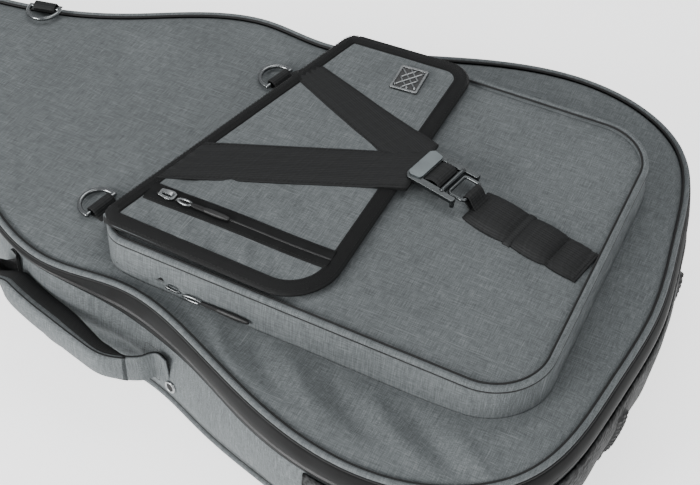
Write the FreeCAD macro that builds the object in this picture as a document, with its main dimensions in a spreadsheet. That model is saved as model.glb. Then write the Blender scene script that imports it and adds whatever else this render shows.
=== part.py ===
"""Padded gig bag for an acoustic guitar, lying on its back, drawn as a parametric assembly.

Frame: the origin is on the rest plane under the middle of the bag. +X runs to the bottom end,
-X to the head, +Y to the hinge side, -Y to the handle side and +Z out of the front.
"""
import FreeCAD
import Part
import math
import os

V = FreeCAD.Vector
UP = V(0, 0, 1)
doc = FreeCAD.newDocument("gig_bag")
sheet = doc.addObject("Spreadsheet::Sheet", "dims")
parts = []

# Driving dimensions in millimetres and degrees: alias, value.
DIMENSIONS = [
    ("half_length", 572), ("bout_half", 227.5), ("waist_half", 165.5), ("upper_half", 170.5),
    ("neck_half", 77), ("bout_from_end", 145), ("waist_from_end", 372), ("upper_from_end", 437),
    ("foot_height", 8), ("back_thick", 14), ("wall_thick", 14), ("lining_thick", 1.5),
    ("zip_plane", 92), ("zip_gap", 0.5), ("coil_height", 1.8), ("tape_thick", 3),
    ("lid_plane", 110), ("lid_low", 94.5), ("lid_top", 112), ("piping_half", 3),
    ("gusset_start", 335), ("gusset_length", 180),
    ("boot_start", 393), ("boot_thick", 3), ("foot_bar_offset", 72), ("foot_bar_width", 13),
    ("foot_bar_height", 66), ("foot_bar_thick", 7),
    ("pocket_half", 147), ("pocket_bottom", 522), ("pocket_top", 153), ("pocket_corner", 46),
    ("pocket_wall", 4), ("pocket_height", 28), ("face_thick", 3),
    ("flap_slant", 14), ("flap_thick", 3), ("flap_bottom", 356),
    ("flap_half", 144), ("flap_flat", 144.3), ("binding_width", 13), ("strap_slant", 12.5),
    ("flap_hinge_x", 177), ("flap_crest", 22), ("strap_width", 40), ("strap_thick", 1.6),
    ("flap_zip_side", -96.5), ("flap_zip_width", 18.5),
    ("ring_wire", 4), ("ring_half", 15), ("ring_level", 115), ("ring_clear", 0.08),
    ("handle_reach", 42), ("handle_thick", 13), ("handle_height", 32), ("handle_mid", 61),
    ("handle_axis", 186), ("shoulder_width", 58), ("shoulder_thick", 6.4), ("shoulder_lane", 66),
    ("shoulder_start", -20),
]


def fill_sheet():
    for row, (alias, value) in enumerate(DIMENSIONS, start=1):
        sheet.set("A%d" % row, alias)
        sheet.set("B%d" % row, str(value))
        sheet.setAlias("B%d" % row, alias)
    doc.recompute()


def size(alias):
    return float(getattr(sheet, alias))


def bind(item, **formulas):
    """Bind properties of an object to formulas over the sheet's cells."""
    for name, formula in formulas.items():
        item.setExpression(name.replace("__", "."), formula)


def keep(item, label):
    """Make an object a sub-part: its label names the node."""
    item.Label = label
    parts.append(item)
    return item


# ---------------------------------------------------------------- outlines and slabs

def half_outline():
    """Half width of the bag at distances from the bottom end: bouts, waist, shoulder, neck, head."""
    bout, waist = size("bout_half"), size("waist_half")
    upper, neck = size("upper_half"), size("neck_half")
    at_bout, at_waist = size("bout_from_end"), size("waist_from_end")
    at_upper, length = size("upper_from_end"), 2 * size("half_length")
    return [
        (0, 0), (0.055 * at_bout, 0.36 * bout), (0.25 * at_bout, 0.79 * bout),
        (0.57 * at_bout, 0.945 * bout), (at_bout, bout),
        (at_bout + 0.33 * (at_waist - at_bout), waist + 0.79 * (bout - waist)),
        (at_bout + 0.68 * (at_waist - at_bout), waist + 0.30 * (bout - waist)),
        (at_waist, waist), (at_upper, upper),
        (at_upper + 64, upper - 18.5), (at_upper + 123, upper - 51.5), (at_upper + 183, upper - 75.5),
        (at_upper + 263, neck + 4), (at_upper + 400, neck),
        (length - 90, neck - 1), (length - 20, 0.68 * neck), (length, 0),
    ]


def lid_edge():
    """The closed outline of the lid's edge, as one smooth periodic curve."""
    half = half_outline()
    end = size("half_length")
    near = [V(end - x, -w, 0) for x, w in half]
    far = [V(end - x, w, 0) for x, w in half[-2:0:-1]]
    curve = Part.BSplineCurve()
    curve.interpolate(Points=near + far, PeriodicFlag=True)
    return curve


def outline_at(offset):
    """A sketch of the bag's outline moved out square to itself; a negative offset moves it in."""
    name = ("outline_%+.2f" % offset).replace("+", "out_").replace("-", "in_").replace(".", "_")
    known = doc.getObject(name)
    if known:
        return known
    edge = lid_edge()
    first, last = edge.FirstParameter, edge.LastParameter
    count = 72
    points = []
    for i in range(count):
        at = first + (last - first) * i / count
        along = edge.tangent(at)[0]
        points.append(edge.value(at) + V(-along.y, along.x, 0).normalize() * offset)
    curve = Part.BSplineCurve()
    curve.interpolate(Points=points, PeriodicFlag=True)
    sketch = doc.addObject("Sketcher::SketchObject", name)
    sketch.addGeometry(curve, False)
    return sketch


def rounded_box_sketch(name, corners, radii):
    """A closed sketch through corner points, each corner rounded by a tangent arc."""
    sketch = doc.addObject("Sketcher::SketchObject", name)
    count = len(corners)
    ends = []
    for i, corner in enumerate(corners):
        before = (corners[i - 1] - corner).normalize()
        after = (corners[(i + 1) % count] - corner).normalize()
        half_turn = math.acos(max(-1, min(1, before.dot(after)))) / 2
        reach = radii[i] / math.tan(half_turn)
        start, stop = corner + before * reach, corner + after * reach
        centre_way = (before + after).normalize()
        middle = corner + centre_way * (radii[i] / math.sin(half_turn) - radii[i])
        ends.append((start, middle, stop))
    for i, (start, middle, stop) in enumerate(ends):
        sketch.addGeometry(Part.Arc(start, middle, stop), False)
        sketch.addGeometry(Part.LineSegment(stop, ends[(i + 1) % count][0]), False)
    return sketch


def slab(source, low, height, name="slab"):
    """A solid between two heights inside an outline sketch."""
    item = doc.addObject("Part::Extrusion", name)
    item.Base = source
    item.DirMode = "Custom"
    item.Dir = UP
    item.Solid = True
    bind(item, LengthFwd=height)
    bind(item, Placement__Base__z=low)
    return item


def cut(base, tool, name="cut"):
    item = doc.addObject("Part::Cut", name)
    item.Base, item.Tool = base, tool
    return item


def common(base, tool, name="common"):
    item = doc.addObject("Part::Common", name)
    item.Base, item.Tool = base, tool
    return item


def ring(outer, inner, low, height, name="ring"):
    """A band between two offsets of the bag's outline."""
    return cut(slab(outline_at(outer), low, height), slab(outline_at(inner), low, height), name)


def box(x, y, z, length, width, height, name="box"):
    """A block from its low corner, each size a formula."""
    item = doc.addObject("Part::Box", name)
    bind(item, Length=length, Width=width, Height=height)
    bind(item, Placement__Base__x=x, Placement__Base__y=y, Placement__Base__z=z)
    return item


def soft_block(x, y, z, length, width, height, radius, name="pad"):
    """A block with all its edges rounded, for pads and moulded pieces."""
    base = box(x, y, z, length, width, height)
    doc.recompute()
    item = doc.addObject("Part::Fillet", name)
    item.Base = base
    item.Edges = [(i + 1, radius, radius) for i in range(12)]
    return item


def shape_part(label, shape, place=None):
    """A sub-part whose shape is computed from the sheet."""
    item = doc.addObject("Part::Feature", label)
    item.Shape = shape
    if place:
        item.Placement = place.multiply(shape.Placement)
    return keep(item, label)


def group(items, name="group"):
    item = doc.addObject("Part::Compound", name)
    item.Links = items
    return item


# ---------------------------------------------------------------- shell: back, wall, zip

def make_back():
    keep(slab(outline_at(0), "dims.foot_height", "dims.back_thick"), "back_panel")
    keep(ring(size("piping_half"), 0.02, "dims.foot_height + 2", "2 * dims.piping_half"), "back_piping")
    keep(soft_block("-60", "-34", "0", "560", "68", "dims.foot_height", 3.5), "spine_pad")
    flank = [soft_block("330", y, "0", "150", "62", "dims.foot_height", 3.5) for y in ("124", "-186")]
    keep(group(flank), "flank_pads")
    keep(soft_block("-500", "-46", "0", "240", "92", "dims.foot_height", 3.5), "neck_rest_pad")


def make_wall():
    low = "dims.foot_height + dims.back_thick"
    wall_top = "dims.zip_plane - dims.zip_gap - dims.coil_height - 4"
    keep(ring(0, -size("wall_thick"), low, wall_top + " - (%s)" % low), "side_wall")
    keep(ring(-0.1, -size("tape_thick"), wall_top, "4"), "zip_tape_shell")
    keep(ring(0.5, -size("tape_thick"), "dims.zip_plane - dims.zip_gap - dims.coil_height",
              "dims.coil_height"), "zip_teeth_shell")


def make_lining():
    low = "dims.foot_height + dims.back_thick"
    tall = "dims.zip_plane - 8 - (%s)" % low
    wall, lining = size("wall_thick"), size("lining_thick")
    outer = slab(outline_at(-wall - 0.02), low, tall)
    inner = slab(outline_at(-wall - lining), low + " + dims.lining_thick", tall)
    keep(cut(outer, inner), "interior_lining")


def make_boot():
    low = "dims.foot_height + 2 + 2 * dims.piping_half"
    tall = "dims.zip_plane - 6 - (%s)" % low
    boot = size("boot_thick")
    band = ring(boot, 0.02, low, tall)
    window = box("dims.boot_start", "-300", "0", "400", "600", "200")
    keep(common(band, window), "bottom_boot")
    bars = ring(boot + size("foot_bar_thick"), boot + 0.02, "dims.zip_plane - 22 - dims.foot_bar_height",
                "dims.foot_bar_height")
    gates = [box("dims.half_length - 60", "%s * dims.foot_bar_offset - dims.foot_bar_width / 2" % side,
                 "0", "100", "dims.foot_bar_width", "200") for side in ("1", "-1")]
    keep(common(bars, group(gates)), "bottom_feet")


def make_hinge_gusset():
    low = "dims.zip_plane - 30"
    boot = size("boot_thick")
    band = ring(boot + 1.4, boot + 0.05, low, "dims.zip_plane - dims.zip_gap - (%s)" % low)
    window = box("dims.gusset_start", "0", "0", "dims.gusset_length", "400", "200")
    keep(common(band, window), "hinge_gusset")


def make_inside():
    floor = "dims.foot_height + dims.back_thick + dims.lining_thick"
    block = soft_block("-310", "-50", floor, "90", "100", "44", 6)
    groove = doc.addObject("Part::Cylinder", "neck_groove")
    groove.Radius = 30
    groove.Height = 120
    groove.Placement = FreeCAD.Placement(V(-325, 0, 88), FreeCAD.Rotation(V(0, 1, 0), 90))
    keep(cut(block, groove), "neck_cradle")
    keep(soft_block("-528", "-36", floor, "26", "72", "50", 6), "headstock_pad")
    keep(soft_block("526", "-40", floor, "24", "80", "50", 6), "end_pin_pad")
    keep(soft_block("-284", "-52", floor + " + 44.6", "38", "104", "2.4", 1), "neck_strap")


def make_outer_trim():
    outer = Part.makeBox(31, 26, 40, V(-604, -13, 40))
    hole = Part.makeBox(24, 28, 33, V(-600.5, -14, 43.5))
    loop = outer.cut(hole)
    loop = loop.makeFillet(3, [e for e in loop.Edges if abs(e.tangentAt(e.FirstParameter).y) > 0.9][:2])
    shape_part("hang_loop", loop)


# ---------------------------------------------------------------- straps on the back

def make_shoulder_straps():
    width = size("shoulder_width")
    anchors, locks, webs = [], [], []
    for side, sign in (("near", -1), ("far", 1)):
        lane = sign * size("shoulder_lane")
        strap = soft_block("dims.shoulder_start", "%g" % (lane - width / 2), "0.9", "400",
                           "dims.shoulder_width", "dims.shoulder_thick", 2.5)
        keep(strap, "shoulder_strap_" + side)
        anchors.append(box("dims.shoulder_start - 42", "%g" % (lane - 18), "5.4", "41.5", "36", "2.5"))
        locks.append(ladder_lock().translated(V(396, lane, 4.2)))
        webs.append(box("412", "%g" % (lane - 12), "5.4", "104", "24", "1.8"))
    keep(group(anchors), "strap_anchors")
    keep(group(webs), "strap_webbing")
    shape_part("ladder_locks", Part.Compound(locks))


def ladder_lock():
    """Moulded strap adjuster: a plate with two slots."""
    plate = Part.makeBox(30, 36, 4, V(-15, -18, -2))
    plate = plate.makeFillet(1.5, plate.Edges)
    for x in (-9.5, 2.5):
        plate = plate.cut(Part.makeBox(7, 26, 10, V(x, -13, -5)))
    return plate


# ---------------------------------------------------------------- handle

def handle_path(offset, height):
    """Plan outline of the grip's centre line, moved out by an offset, as a wire."""
    axis_y = -size("handle_axis") - 3
    reach = size("handle_reach") - 16 + offset
    return [V(238 + offset, axis_y, height), V(222 + offset / 2, axis_y - reach * 0.72, height),
            V(170, axis_y - reach, height), V(108, axis_y - reach, height),
            V(78 - offset / 2, axis_y - reach * 0.72, height), V(64 - offset, axis_y, height)]


def make_handle():
    """The padded grip: a flat bent band, standing off the wall, on webbing tabs."""
    low = size("handle_mid") - size("handle_height") / 2
    thick = size("handle_thick")
    outer = Part.BSplineCurve()
    outer.interpolate(Points=handle_path(0, low))
    inner = Part.BSplineCurve()
    inner.interpolate(Points=handle_path(-thick, low))
    edges = [outer.toShape(), Part.makeLine(outer.EndPoint, inner.EndPoint), inner.toShape(),
             Part.makeLine(inner.StartPoint, outer.StartPoint)]
    face = Part.Face(Part.Wire(edges))
    shape_part("handle_grip", face.extrude(V(0, 0, size("handle_height"))))


def make_handle_tabs():
    """Stitched webbing ends of the handle, and the rivets beside them."""
    mid = size("handle_mid")
    lower = Part.makeBox(28, 16, 26, V(222, -181, mid - 13))
    upper = Part.makeBox(34, 18, 26, V(46, -181, mid - 13))
    outline = outline_at(0.02)
    doc.recompute()
    body = Part.Face(Part.Wire(outline.Shape.Edges)).extrude(V(0, 0, 300))
    shape_part("handle_tabs", Part.Compound([lower.cut(body).Solids[0], upper.cut(body).Solids[0]]))


# ---------------------------------------------------------------- lid

def make_lid():
    tape_low = "dims.zip_plane + dims.zip_gap + dims.coil_height"
    tape, piping = size("tape_thick"), size("piping_half")
    keep(slab(outline_at(-tape - 0.02), "dims.lid_low", "dims.lid_top - dims.lid_low"), "lid_panel")
    keep(slab(outline_at(-2 * tape), "dims.lid_low - dims.lining_thick", "dims.lining_thick"), "lid_lining")
    keep(ring(-0.1, -tape, tape_low, "dims.lid_plane - dims.piping_half - (%s)" % tape_low), "zip_tape_lid")
    keep(ring(0.5, -tape, "dims.zip_plane + dims.zip_gap", "dims.coil_height"), "zip_teeth_lid")
    welt = ring(piping, -piping + 0.02, "dims.lid_plane - dims.piping_half", "2 * dims.piping_half")
    keep(welt, "lid_piping")


# ---------------------------------------------------------------- front pocket

def flap_frame():
    """Placement whose X runs down the flap, square to its hinge line, and whose Y runs along it."""
    return FreeCAD.Placement(V(size("flap_hinge_x"), 0, 0), FreeCAD.Rotation(UP, -size("flap_slant")))


def prism_along_hinge(profile):
    """A bar of constant section along the flap's hinge line; profile points are (down, height)."""
    points = [V(down, -260, height) for down, height in profile]
    face = Part.Face(Part.makePolygon(points + points[:1]))
    solid = face.extrude(V(0, 520, 0))
    solid.Placement = flap_frame()
    return solid


def pocket_room():
    """Everything under the flap's underside, down its ramp and over its flat."""
    flat, crest = size("flap_flat") - 0.6, size("flap_crest") + 1.5
    return prism_along_hinge([(7, 100), (7, size("lid_top") + 1.5), (crest, flat), (420, flat), (420, 100)])


def make_pocket():
    half, bottom, top = size("pocket_half"), size("pocket_bottom"), size("pocket_top")
    corner = size("pocket_corner")
    slope = math.tan(math.radians(size("flap_slant")))
    corners = [V(top, -half + 36, 0), V(top + 30, -half, 0), V(bottom, -half, 0), V(bottom, half, 0),
               V(top + slope * (2 * half - 36), half, 0)]
    sketch = rounded_box_sketch("pocket_outline", corners, [8, 20, corner, corner, 12])
    doc.recompute()
    low, tall = size("lid_top"), size("pocket_height")
    room = pocket_room()

    def block(offset, start, height):
        face = Part.Face(Part.Wire(Part.__sortEdges__(sketch.Shape.Edges)))
        if offset:
            face = Part.Face(face.makeOffset2D(offset).Wires[0])
        face.translate(V(0, 0, start))
        return face.extrude(V(0, 0, height))

    mouth = prism_along_hinge([(-40, 90), (-40, 200), (24, 200), (24, 90)])
    mouth = mouth.common(Part.makeBox(400, 2 * half - 40, 200, V(0, -half + 20, 50)))
    wall = size("pocket_wall")
    gusset = block(0, low, tall).cut(block(-wall, low - 5, tall + 10)).common(room).cut(mouth)
    shape_part("pocket_gusset", biggest(gusset))
    face_low = low + tall - size("face_thick")
    face = block(-wall - 0.02, face_low, size("face_thick")).common(room).cut(mouth)
    shape_part("pocket_face", biggest(face))
    piping = block(1, low + tall, 3.5).cut(block(-5, low + tall - 1, 9)).common(room).cut(mouth)
    shape_part("pocket_piping", biggest(piping))
    shape_part("pocket_zip_tape", Part.makeBox(165, 1.2, 8, V(185, -half - 1.25, low + 0.4)))


def biggest(shape):
    """The largest solid of a boolean's result, so that offcuts are dropped."""
    return max(shape.Solids, key=lambda solid: solid.Volume)


# ---------------------------------------------------------------- flap over the pocket

def flap_prism(name, top_corners, top_radii, inset, start, height):
    """Upright prism over the flap's outline, whose upper corners and their radii are given."""
    half, bottom = size("flap_half"), size("flap_bottom")
    sketch = doc.getObject(name)
    if not sketch:
        corners = [*top_corners[:-1], V(bottom, -half, 0), V(bottom, half + 11, 0), top_corners[-1]]
        sketch = rounded_box_sketch(name, corners, [*top_radii[:-1], 42, 24, top_radii[-1]])
        doc.recompute()
    face = Part.Face(Part.Wire(Part.__sortEdges__(sketch.Shape.Edges)))
    if inset:
        face = Part.Face(face.makeOffset2D(-inset).Wires[0])
    face.translate(V(0, 0, start))
    return face.extrude(V(0, 0, height))


def flap_cloth(start, height):
    """Over the whole flap, from its sewn edge on the lid."""
    half = size("flap_half")
    corners = [V(143, -120, 0), V(173, -half + 2, 0), V(213, half + 5, 0)]
    return flap_prism("flap_outline", corners, [8, 20, 14], 0, start, height)


def flap_rim(inset, start, height):
    """Over the flap's flat, from its crest; the binding follows this edge."""
    half = size("flap_half")
    corners = [V(162.5, -half + 3, 0), V(235, half + 6, 0)]
    return flap_prism("rim_outline_%d" % (10 * inset), corners, [12, 14], inset, start, height)


def bent_sheet(below, above):
    """The flap's sheet: flat over the hinge line, up a steep slope to its crest, then flat."""
    low, flat, foot, crest = size("lid_top") + 1.4, size("flap_flat"), 5, size("flap_crest")
    thick = size("flap_thick") + above
    shift = thick * math.tan(math.atan2(flat - low, crest - foot) / 2)
    under = [(0, low - below), (foot, low - below), (crest, flat - below), (420, flat - below)]
    over = [(420, flat + thick), (crest - shift, flat + thick), (foot - shift, low + thick), (0, low + thick)]
    return prism_along_hinge(under + over)


def make_flap():
    width = size("binding_width")
    shape_part("flap_panel", biggest(bent_sheet(0, 0).common(flap_cloth(100, 80))))
    top = size("flap_flat") + size("flap_thick") + 0.05
    shape_part("flap_binding", flap_rim(0, top, 0.9).cut(flap_rim(width, top - 1, 3)))
    window = flap_rim(width + 0.5, top - 1, 8)
    far_line = V(197, 96.5, top), V(362, 32, top)
    near_line = V(170, -65, top), V(360, 17.5, top)
    shape_part("flap_strap_far", biggest(strap_bar(*far_line).common(window)))
    under = V(0, 0, -1)
    clear = strap_bar(far_line[0] + under, far_line[1] + under, 1, 9)
    shape_part("flap_strap_near", biggest(strap_bar(*near_line).common(window).cut(clear)))
    zip_width = size("flap_zip_width")
    tape = Part.makeBox(180, zip_width, 1.5, V(170, size("flap_zip_side") - zip_width / 2, top))
    shape_part("flap_zip_tape", biggest(tape.common(window)))
    place = FreeCAD.Placement(V(309.5, 114, top), FreeCAD.Rotation(UP, 4))
    shape_part("badge_plate", badge(), place)


def strap_bar(start, end, grow=0, thick=None):
    """A flat strap between two points, lying on a level."""
    length = (end - start).Length
    width = size("strap_width") + 2 * grow
    solid = Part.makeBox(length, width, thick or size("strap_thick"), V(0, -width / 2, 0))
    turn = math.degrees(math.atan2(end.y - start.y, end.x - start.x))
    solid.Placement = FreeCAD.Placement(start, FreeCAD.Rotation(UP, turn))
    return solid


def badge():
    """Small metal plate with a raised rim and a plain raised bar pattern."""
    plate = Part.makeBox(25, 31, 1.6, V(-12.5, -15.5, 0))
    upright = [e for e in plate.Edges if abs(e.tangentAt(e.FirstParameter).z) > 0.9]
    plate = plate.makeFillet(4, upright)
    field = Part.makeBox(20, 26, 2, V(-10, -13, 1))
    upright = [e for e in field.Edges if abs(e.tangentAt(e.FirstParameter).z) > 0.9]
    return plate.cut(field.makeFillet(2, upright))


# ---------------------------------------------------------------- buckle and its strap

def buckle_frame_place(height):
    """Local frame of the hook buckle: X runs down the strap from the buckle's upper edge."""
    return FreeCAD.Placement(V(361, 22, height), FreeCAD.Rotation(UP, -size("strap_slant")))


def make_buckle():
    body = doc.addObject("PartDesign::Body", "buckle_body")
    plane = [f for f in body.Origin.OriginFeatures if f.Role == "XY_Plane"][0]
    sketch = body.newObject("Sketcher::SketchObject", "buckle_sketch")
    sketch.AttachmentSupport = (plane, [""])
    sketch.MapMode = "FlatFace"
    sketch.addGeometry(closed_lines([(3, -19), (47, -19), (47, -14), (35, -14), (35, 14), (47, 14),
                                     (47, 19), (3, 19), (0, 15), (0, -15)]), False)
    pad = body.newObject("PartDesign::Pad", "buckle_pad")
    pad.Profile = sketch
    pad.Length = 4.4
    hole = body.newObject("Sketcher::SketchObject", "slot_sketch")
    hole.AttachmentSupport = (plane, [""])
    hole.MapMode = "FlatFace"
    hole.addGeometry(closed_lines([(14, -13), (32, -13), (32, 13), (14, 13)]), False)
    doc.recompute()
    pocket = body.newObject("PartDesign::Pocket", "buckle_slot")
    pocket.Profile = hole
    pocket.Type = 1
    pocket.Reversed = True
    doc.recompute()
    if body.Shape.Volume > 0.9 * pad.Shape.Volume:
        raise RuntimeError("the buckle's slot was not cut")
    body.Placement = buckle_frame_place(150.6)
    keep(body, "buckle_frame")
    claws = [Part.makeBox(4, 4, 5, V(43, y, -5.02)) for y in (-18.5, 14.5)]
    shape_part("buckle_claws", Part.Compound(claws), buckle_frame_place(150.6))
    shape_part("buckle_webbing", Part.makeBox(42, 24, 1.2, V(-20, -12, 0)), buckle_frame_place(149.1))


def closed_lines(points):
    corners = [V(x, y, 0) for x, y in points]
    return [Part.LineSegment(corners[i - 1], corners[i]) for i in range(len(corners))]


def make_lower_strap():
    place = buckle_frame_place(0)
    ring_level, ring_bar, bar_radius = 152.4, 52.5, 1.5
    strap = Part.makeBox(96, 38, 4, V(56, -19, 140.6))
    riser = Part.makeBox(9, 16, 13.8, V(49, -8, 140.6)).fuse(Part.makeBox(7, 38, 9, V(56, -19, 140.6)))
    bore = Part.makeCylinder(bar_radius + size("ring_clear"), 60, V(ring_bar, -30, ring_level), V(0, 1, 0))
    shape_part("lower_strap", strap.fuse(riser).removeSplitter().cut(bore), place)
    keeper = Part.makeBox(12, 44, 8, V(92, -22, 140.2)).cut(Part.makeBox(14, 39, 8, V(91, -19.5, 136.7)))
    shape_part("strap_keeper", keeper, place)
    loop = rounded_wire_ring(15, 26, bar_radius).translated(V(ring_bar, 0, ring_level))
    shape_part("catch_ring", loop, place)


def rounded_wire_ring(length, width, radius):
    """A round-wire rectangle reaching back from its hinge bar, which lies on the Y axis."""
    half = width / 2 - radius
    corners = [V(0, -half, 0), V(-length, -half, 0), V(-length, half, 0), V(0, half, 0)]
    return wire_loop(corners, radius, 3)


def wire_loop(corners, radius, bend):
    """Round wire swept round a closed loop of straight runs with rounded corners."""
    count = len(corners)
    edges, ends = [], []
    for i, corner in enumerate(corners):
        before = (corners[i - 1] - corner).normalize()
        after = (corners[(i + 1) % count] - corner).normalize()
        half_turn = before.getAngle(after) / 2
        reach = bend / math.tan(half_turn)
        middle = corner + (before + after).normalize() * (bend / math.sin(half_turn) - bend)
        ends.append((corner + before * reach, middle, corner + after * reach))
    for i, (start, middle, stop) in enumerate(ends):
        edges.append(Part.Arc(start, middle, stop).toShape())
        edges.append(Part.makeLine(stop, ends[(i + 1) % count][0]))
    path = Part.Wire(Part.__sortEdges__(edges))
    line = edges[1]
    start = line.valueAt(line.FirstParameter)
    section = Part.Wire(Part.makeCircle(radius, start, line.tangentAt(line.FirstParameter)))
    return path.makePipeShell([section], True, True)


# ---------------------------------------------------------------- D-rings

def d_ring():
    """A D of round wire: its straight bar lies on the Y axis, its bow reaches to -X."""
    half, radius = size("ring_half"), size("ring_wire") / 2
    side = 3
    section = Part.Wire(Part.makeCircle(radius, V(0, 0, 0), V(0, 1, 0)))
    path = Part.Wire([Part.makeLine(V(0, 0, 0), V(0, -half, 0)),
                      Part.makeLine(V(0, -half, 0), V(-side, -half, 0)),
                      Part.Arc(V(-side, -half, 0), V(-side - half, 0, 0), V(-side, half, 0)).toShape(),
                      Part.makeLine(V(-side, half, 0), V(0, half, 0)),
                      Part.makeLine(V(0, half, 0), V(0, 0, 0))])
    return path.makePipeShell([section], True, False, 2)


def ring_tab():
    """Webbing tab folded round the D-ring's bar."""
    radius = size("ring_wire") / 2
    tab = Part.makeBox(9, 22, 2 * radius + 2.2, V(-3.4, -11, -radius - 0.8))
    return tab.cut(Part.makeCylinder(radius + size("ring_clear"), 60, V(0, -30, 0), V(0, 1, 0)))


RING_PLACES = {
    "pocket_near": (137.5, -104, 0, -12), "pocket_far": (188.5, 99, 0, -14),
    "neck_near": (-61, -86, 2, -101.5), "neck_far": (-61, 86, 2, 101.5),
}


def make_d_rings():
    level = size("ring_level")
    tabs = []
    for name, (x, y, rise, turn) in RING_PLACES.items():
        place = FreeCAD.Placement(V(x, y, level + rise), FreeCAD.Rotation(UP, turn))
        shape_part("d_ring_" + name, d_ring(), place)
        tab = ring_tab()
        tab.Placement = place
        tabs.append(tab)
    shape_part("d_ring_tabs", Part.Compound(tabs))


# ---------------------------------------------------------------- zip sliders and pulls

def slider_block(length, width, height):
    block = Part.makeBox(length, width, height, V(-length / 2, -width / 2, 0))
    return block.makeFillet(1, block.Edges)


def pull_shape(wire_length):
    """Wire bail, short cord and moulded grip in one line, along +X from the bail's hinge."""
    bail = Part.makeCylinder(1, wire_length, V(1.5, 0, 0), V(1, 0, 0))
    cord = Part.makeCylinder(1.3, 12, V(1.5 + wire_length, 0, 0), V(1, 0, 0))
    grip = Part.makeBox(28, 7, 3, V(12 + wire_length, -3.5, -1.5))
    grip = grip.makeFillet(1.2, grip.Edges)
    return bail.fuse([cord, grip]).removeSplitter()


def make_sliders():
    turn = FreeCAD.Rotation
    flap_level = size("flap_flat") + size("flap_thick") + 2
    flap = FreeCAD.Placement(V(202, size("flap_zip_side"), flap_level), turn(UP, 2))
    shape_part("flap_slider", slider_block(14, 9, 3.5), flap)
    flap_place = FreeCAD.Placement(V(210, size("flap_zip_side"), flap_level + 1.9), turn(UP, -3))
    shape_part("flap_pull", pull_shape(9), flap_place)
    level = size("lid_top")
    side = -size("pocket_half") - 4
    shape_part("pocket_slider", slider_block(14, 5, 4.5), FreeCAD.Placement(V(238, side, level + 0.9), turn()))
    pocket_place = FreeCAD.Placement(V(246, side - 0.5, level + 2.4), turn(UP, -3))
    shape_part("pocket_pull", pull_shape(20), pocket_place)
    for name, x in (("a", -330), ("b", -300)):
        shape_part("zip_slider_" + name, slider_block(16, 5, 9), FreeCAD.Placement(
            V(x, -83.6, size("zip_plane") - 4.5), turn()))
        shape_part("zip_pull_" + name, pull_shape(10), FreeCAD.Placement(
            V(x, -88.4, size("zip_plane") - 3), turn(V(0, 1, 0), 90)))


def make_eyelets():
    """Two rivets with dished heads, one at each end of the handle, on the near wall."""
    mid = size("handle_mid") - 3
    radius, stand = 7, 2.2
    cup = Part.makeSphere(radius).cut(Part.makeBox(20, 20, 20, V(-10, stand - radius, -10)))
    cup = cup.cut(Part.makeCylinder(2.2, 20, V(0, -12, 0), V(0, 1, 0)))
    solids = []
    for x in (259, 34):
        point, outward = near_edge_at(x)
        cup_centre = point - outward * (radius - stand - 0.3) + V(0, 0, mid)
        turn = math.degrees(math.atan2(outward.y, outward.x)) + 90
        solid = cup.copy()
        solid.Placement = FreeCAD.Placement(cup_centre, FreeCAD.Rotation(UP, turn))
        solids.append(solid)
    shape_part("eyelets", Part.Compound(solids))


def near_edge_at(x):
    """Point of the bag's near edge at a station, with the way out of the bag there."""
    edge = lid_edge()
    line = Part.LineSegment(V(x, 0, 0), V(x, -400, 0))
    crossing = edge.intersect(line)[0]
    point = V(crossing.X, crossing.Y, 0)
    along = edge.tangent(edge.parameter(point))[0]
    outward = V(along.y, -along.x, 0).normalize()
    return point, outward if outward.y < 0 else outward * -1


def check_and_export():
    doc.recompute()
    for item in doc.Objects:
        if "Invalid" in item.State or "Error" in item.State:
            raise RuntimeError("%s failed: %s" % (item.Name, item.State))
    os.makedirs("parts", exist_ok=True)
    for item in parts:
        shape = item.Shape
        if shape.isNull() or not shape.isValid() or not shape.Solids:
            raise RuntimeError("%s has no valid solid" % item.Label)
        shape.exportStep("parts/%s.step" % item.Label)
        print("%-22s %8.1f cm3  %d solid(s)" % (item.Label, shape.Volume / 1000, len(shape.Solids)))


fill_sheet()
make_back()
make_wall()
make_lining()
make_boot()
make_hinge_gusset()
make_inside()
make_outer_trim()
make_shoulder_straps()
make_handle()
make_handle_tabs()
make_eyelets()
make_lid()
make_pocket()
make_flap()
make_buckle()
make_lower_strap()
make_d_rings()
make_sliders()
check_and_export()
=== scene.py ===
"""Looks of the padded gig bag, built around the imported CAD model."""
import math

import bmesh
import bpy
import numpy as np
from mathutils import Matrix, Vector, noise


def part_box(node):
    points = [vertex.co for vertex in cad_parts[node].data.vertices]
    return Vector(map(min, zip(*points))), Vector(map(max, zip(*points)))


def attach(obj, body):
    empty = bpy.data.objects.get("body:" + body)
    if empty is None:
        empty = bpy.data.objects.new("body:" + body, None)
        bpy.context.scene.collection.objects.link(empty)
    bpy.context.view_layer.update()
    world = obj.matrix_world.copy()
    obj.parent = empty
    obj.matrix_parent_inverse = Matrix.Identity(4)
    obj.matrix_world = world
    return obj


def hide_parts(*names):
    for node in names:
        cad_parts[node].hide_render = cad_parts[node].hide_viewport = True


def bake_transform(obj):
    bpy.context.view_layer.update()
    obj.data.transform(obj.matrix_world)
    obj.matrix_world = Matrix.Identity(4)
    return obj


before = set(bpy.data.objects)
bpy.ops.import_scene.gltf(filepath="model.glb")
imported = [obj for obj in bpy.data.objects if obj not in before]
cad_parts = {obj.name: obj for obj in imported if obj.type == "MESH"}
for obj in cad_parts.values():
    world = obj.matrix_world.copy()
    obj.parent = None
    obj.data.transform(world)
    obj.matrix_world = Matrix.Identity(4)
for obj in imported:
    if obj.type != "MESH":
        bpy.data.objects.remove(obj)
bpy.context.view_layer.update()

MM = 0.001


# ---------------------------------------------------------------- places read from the frame

def low(node):
    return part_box(node)[0]


def high(node):
    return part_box(node)[1]


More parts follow.
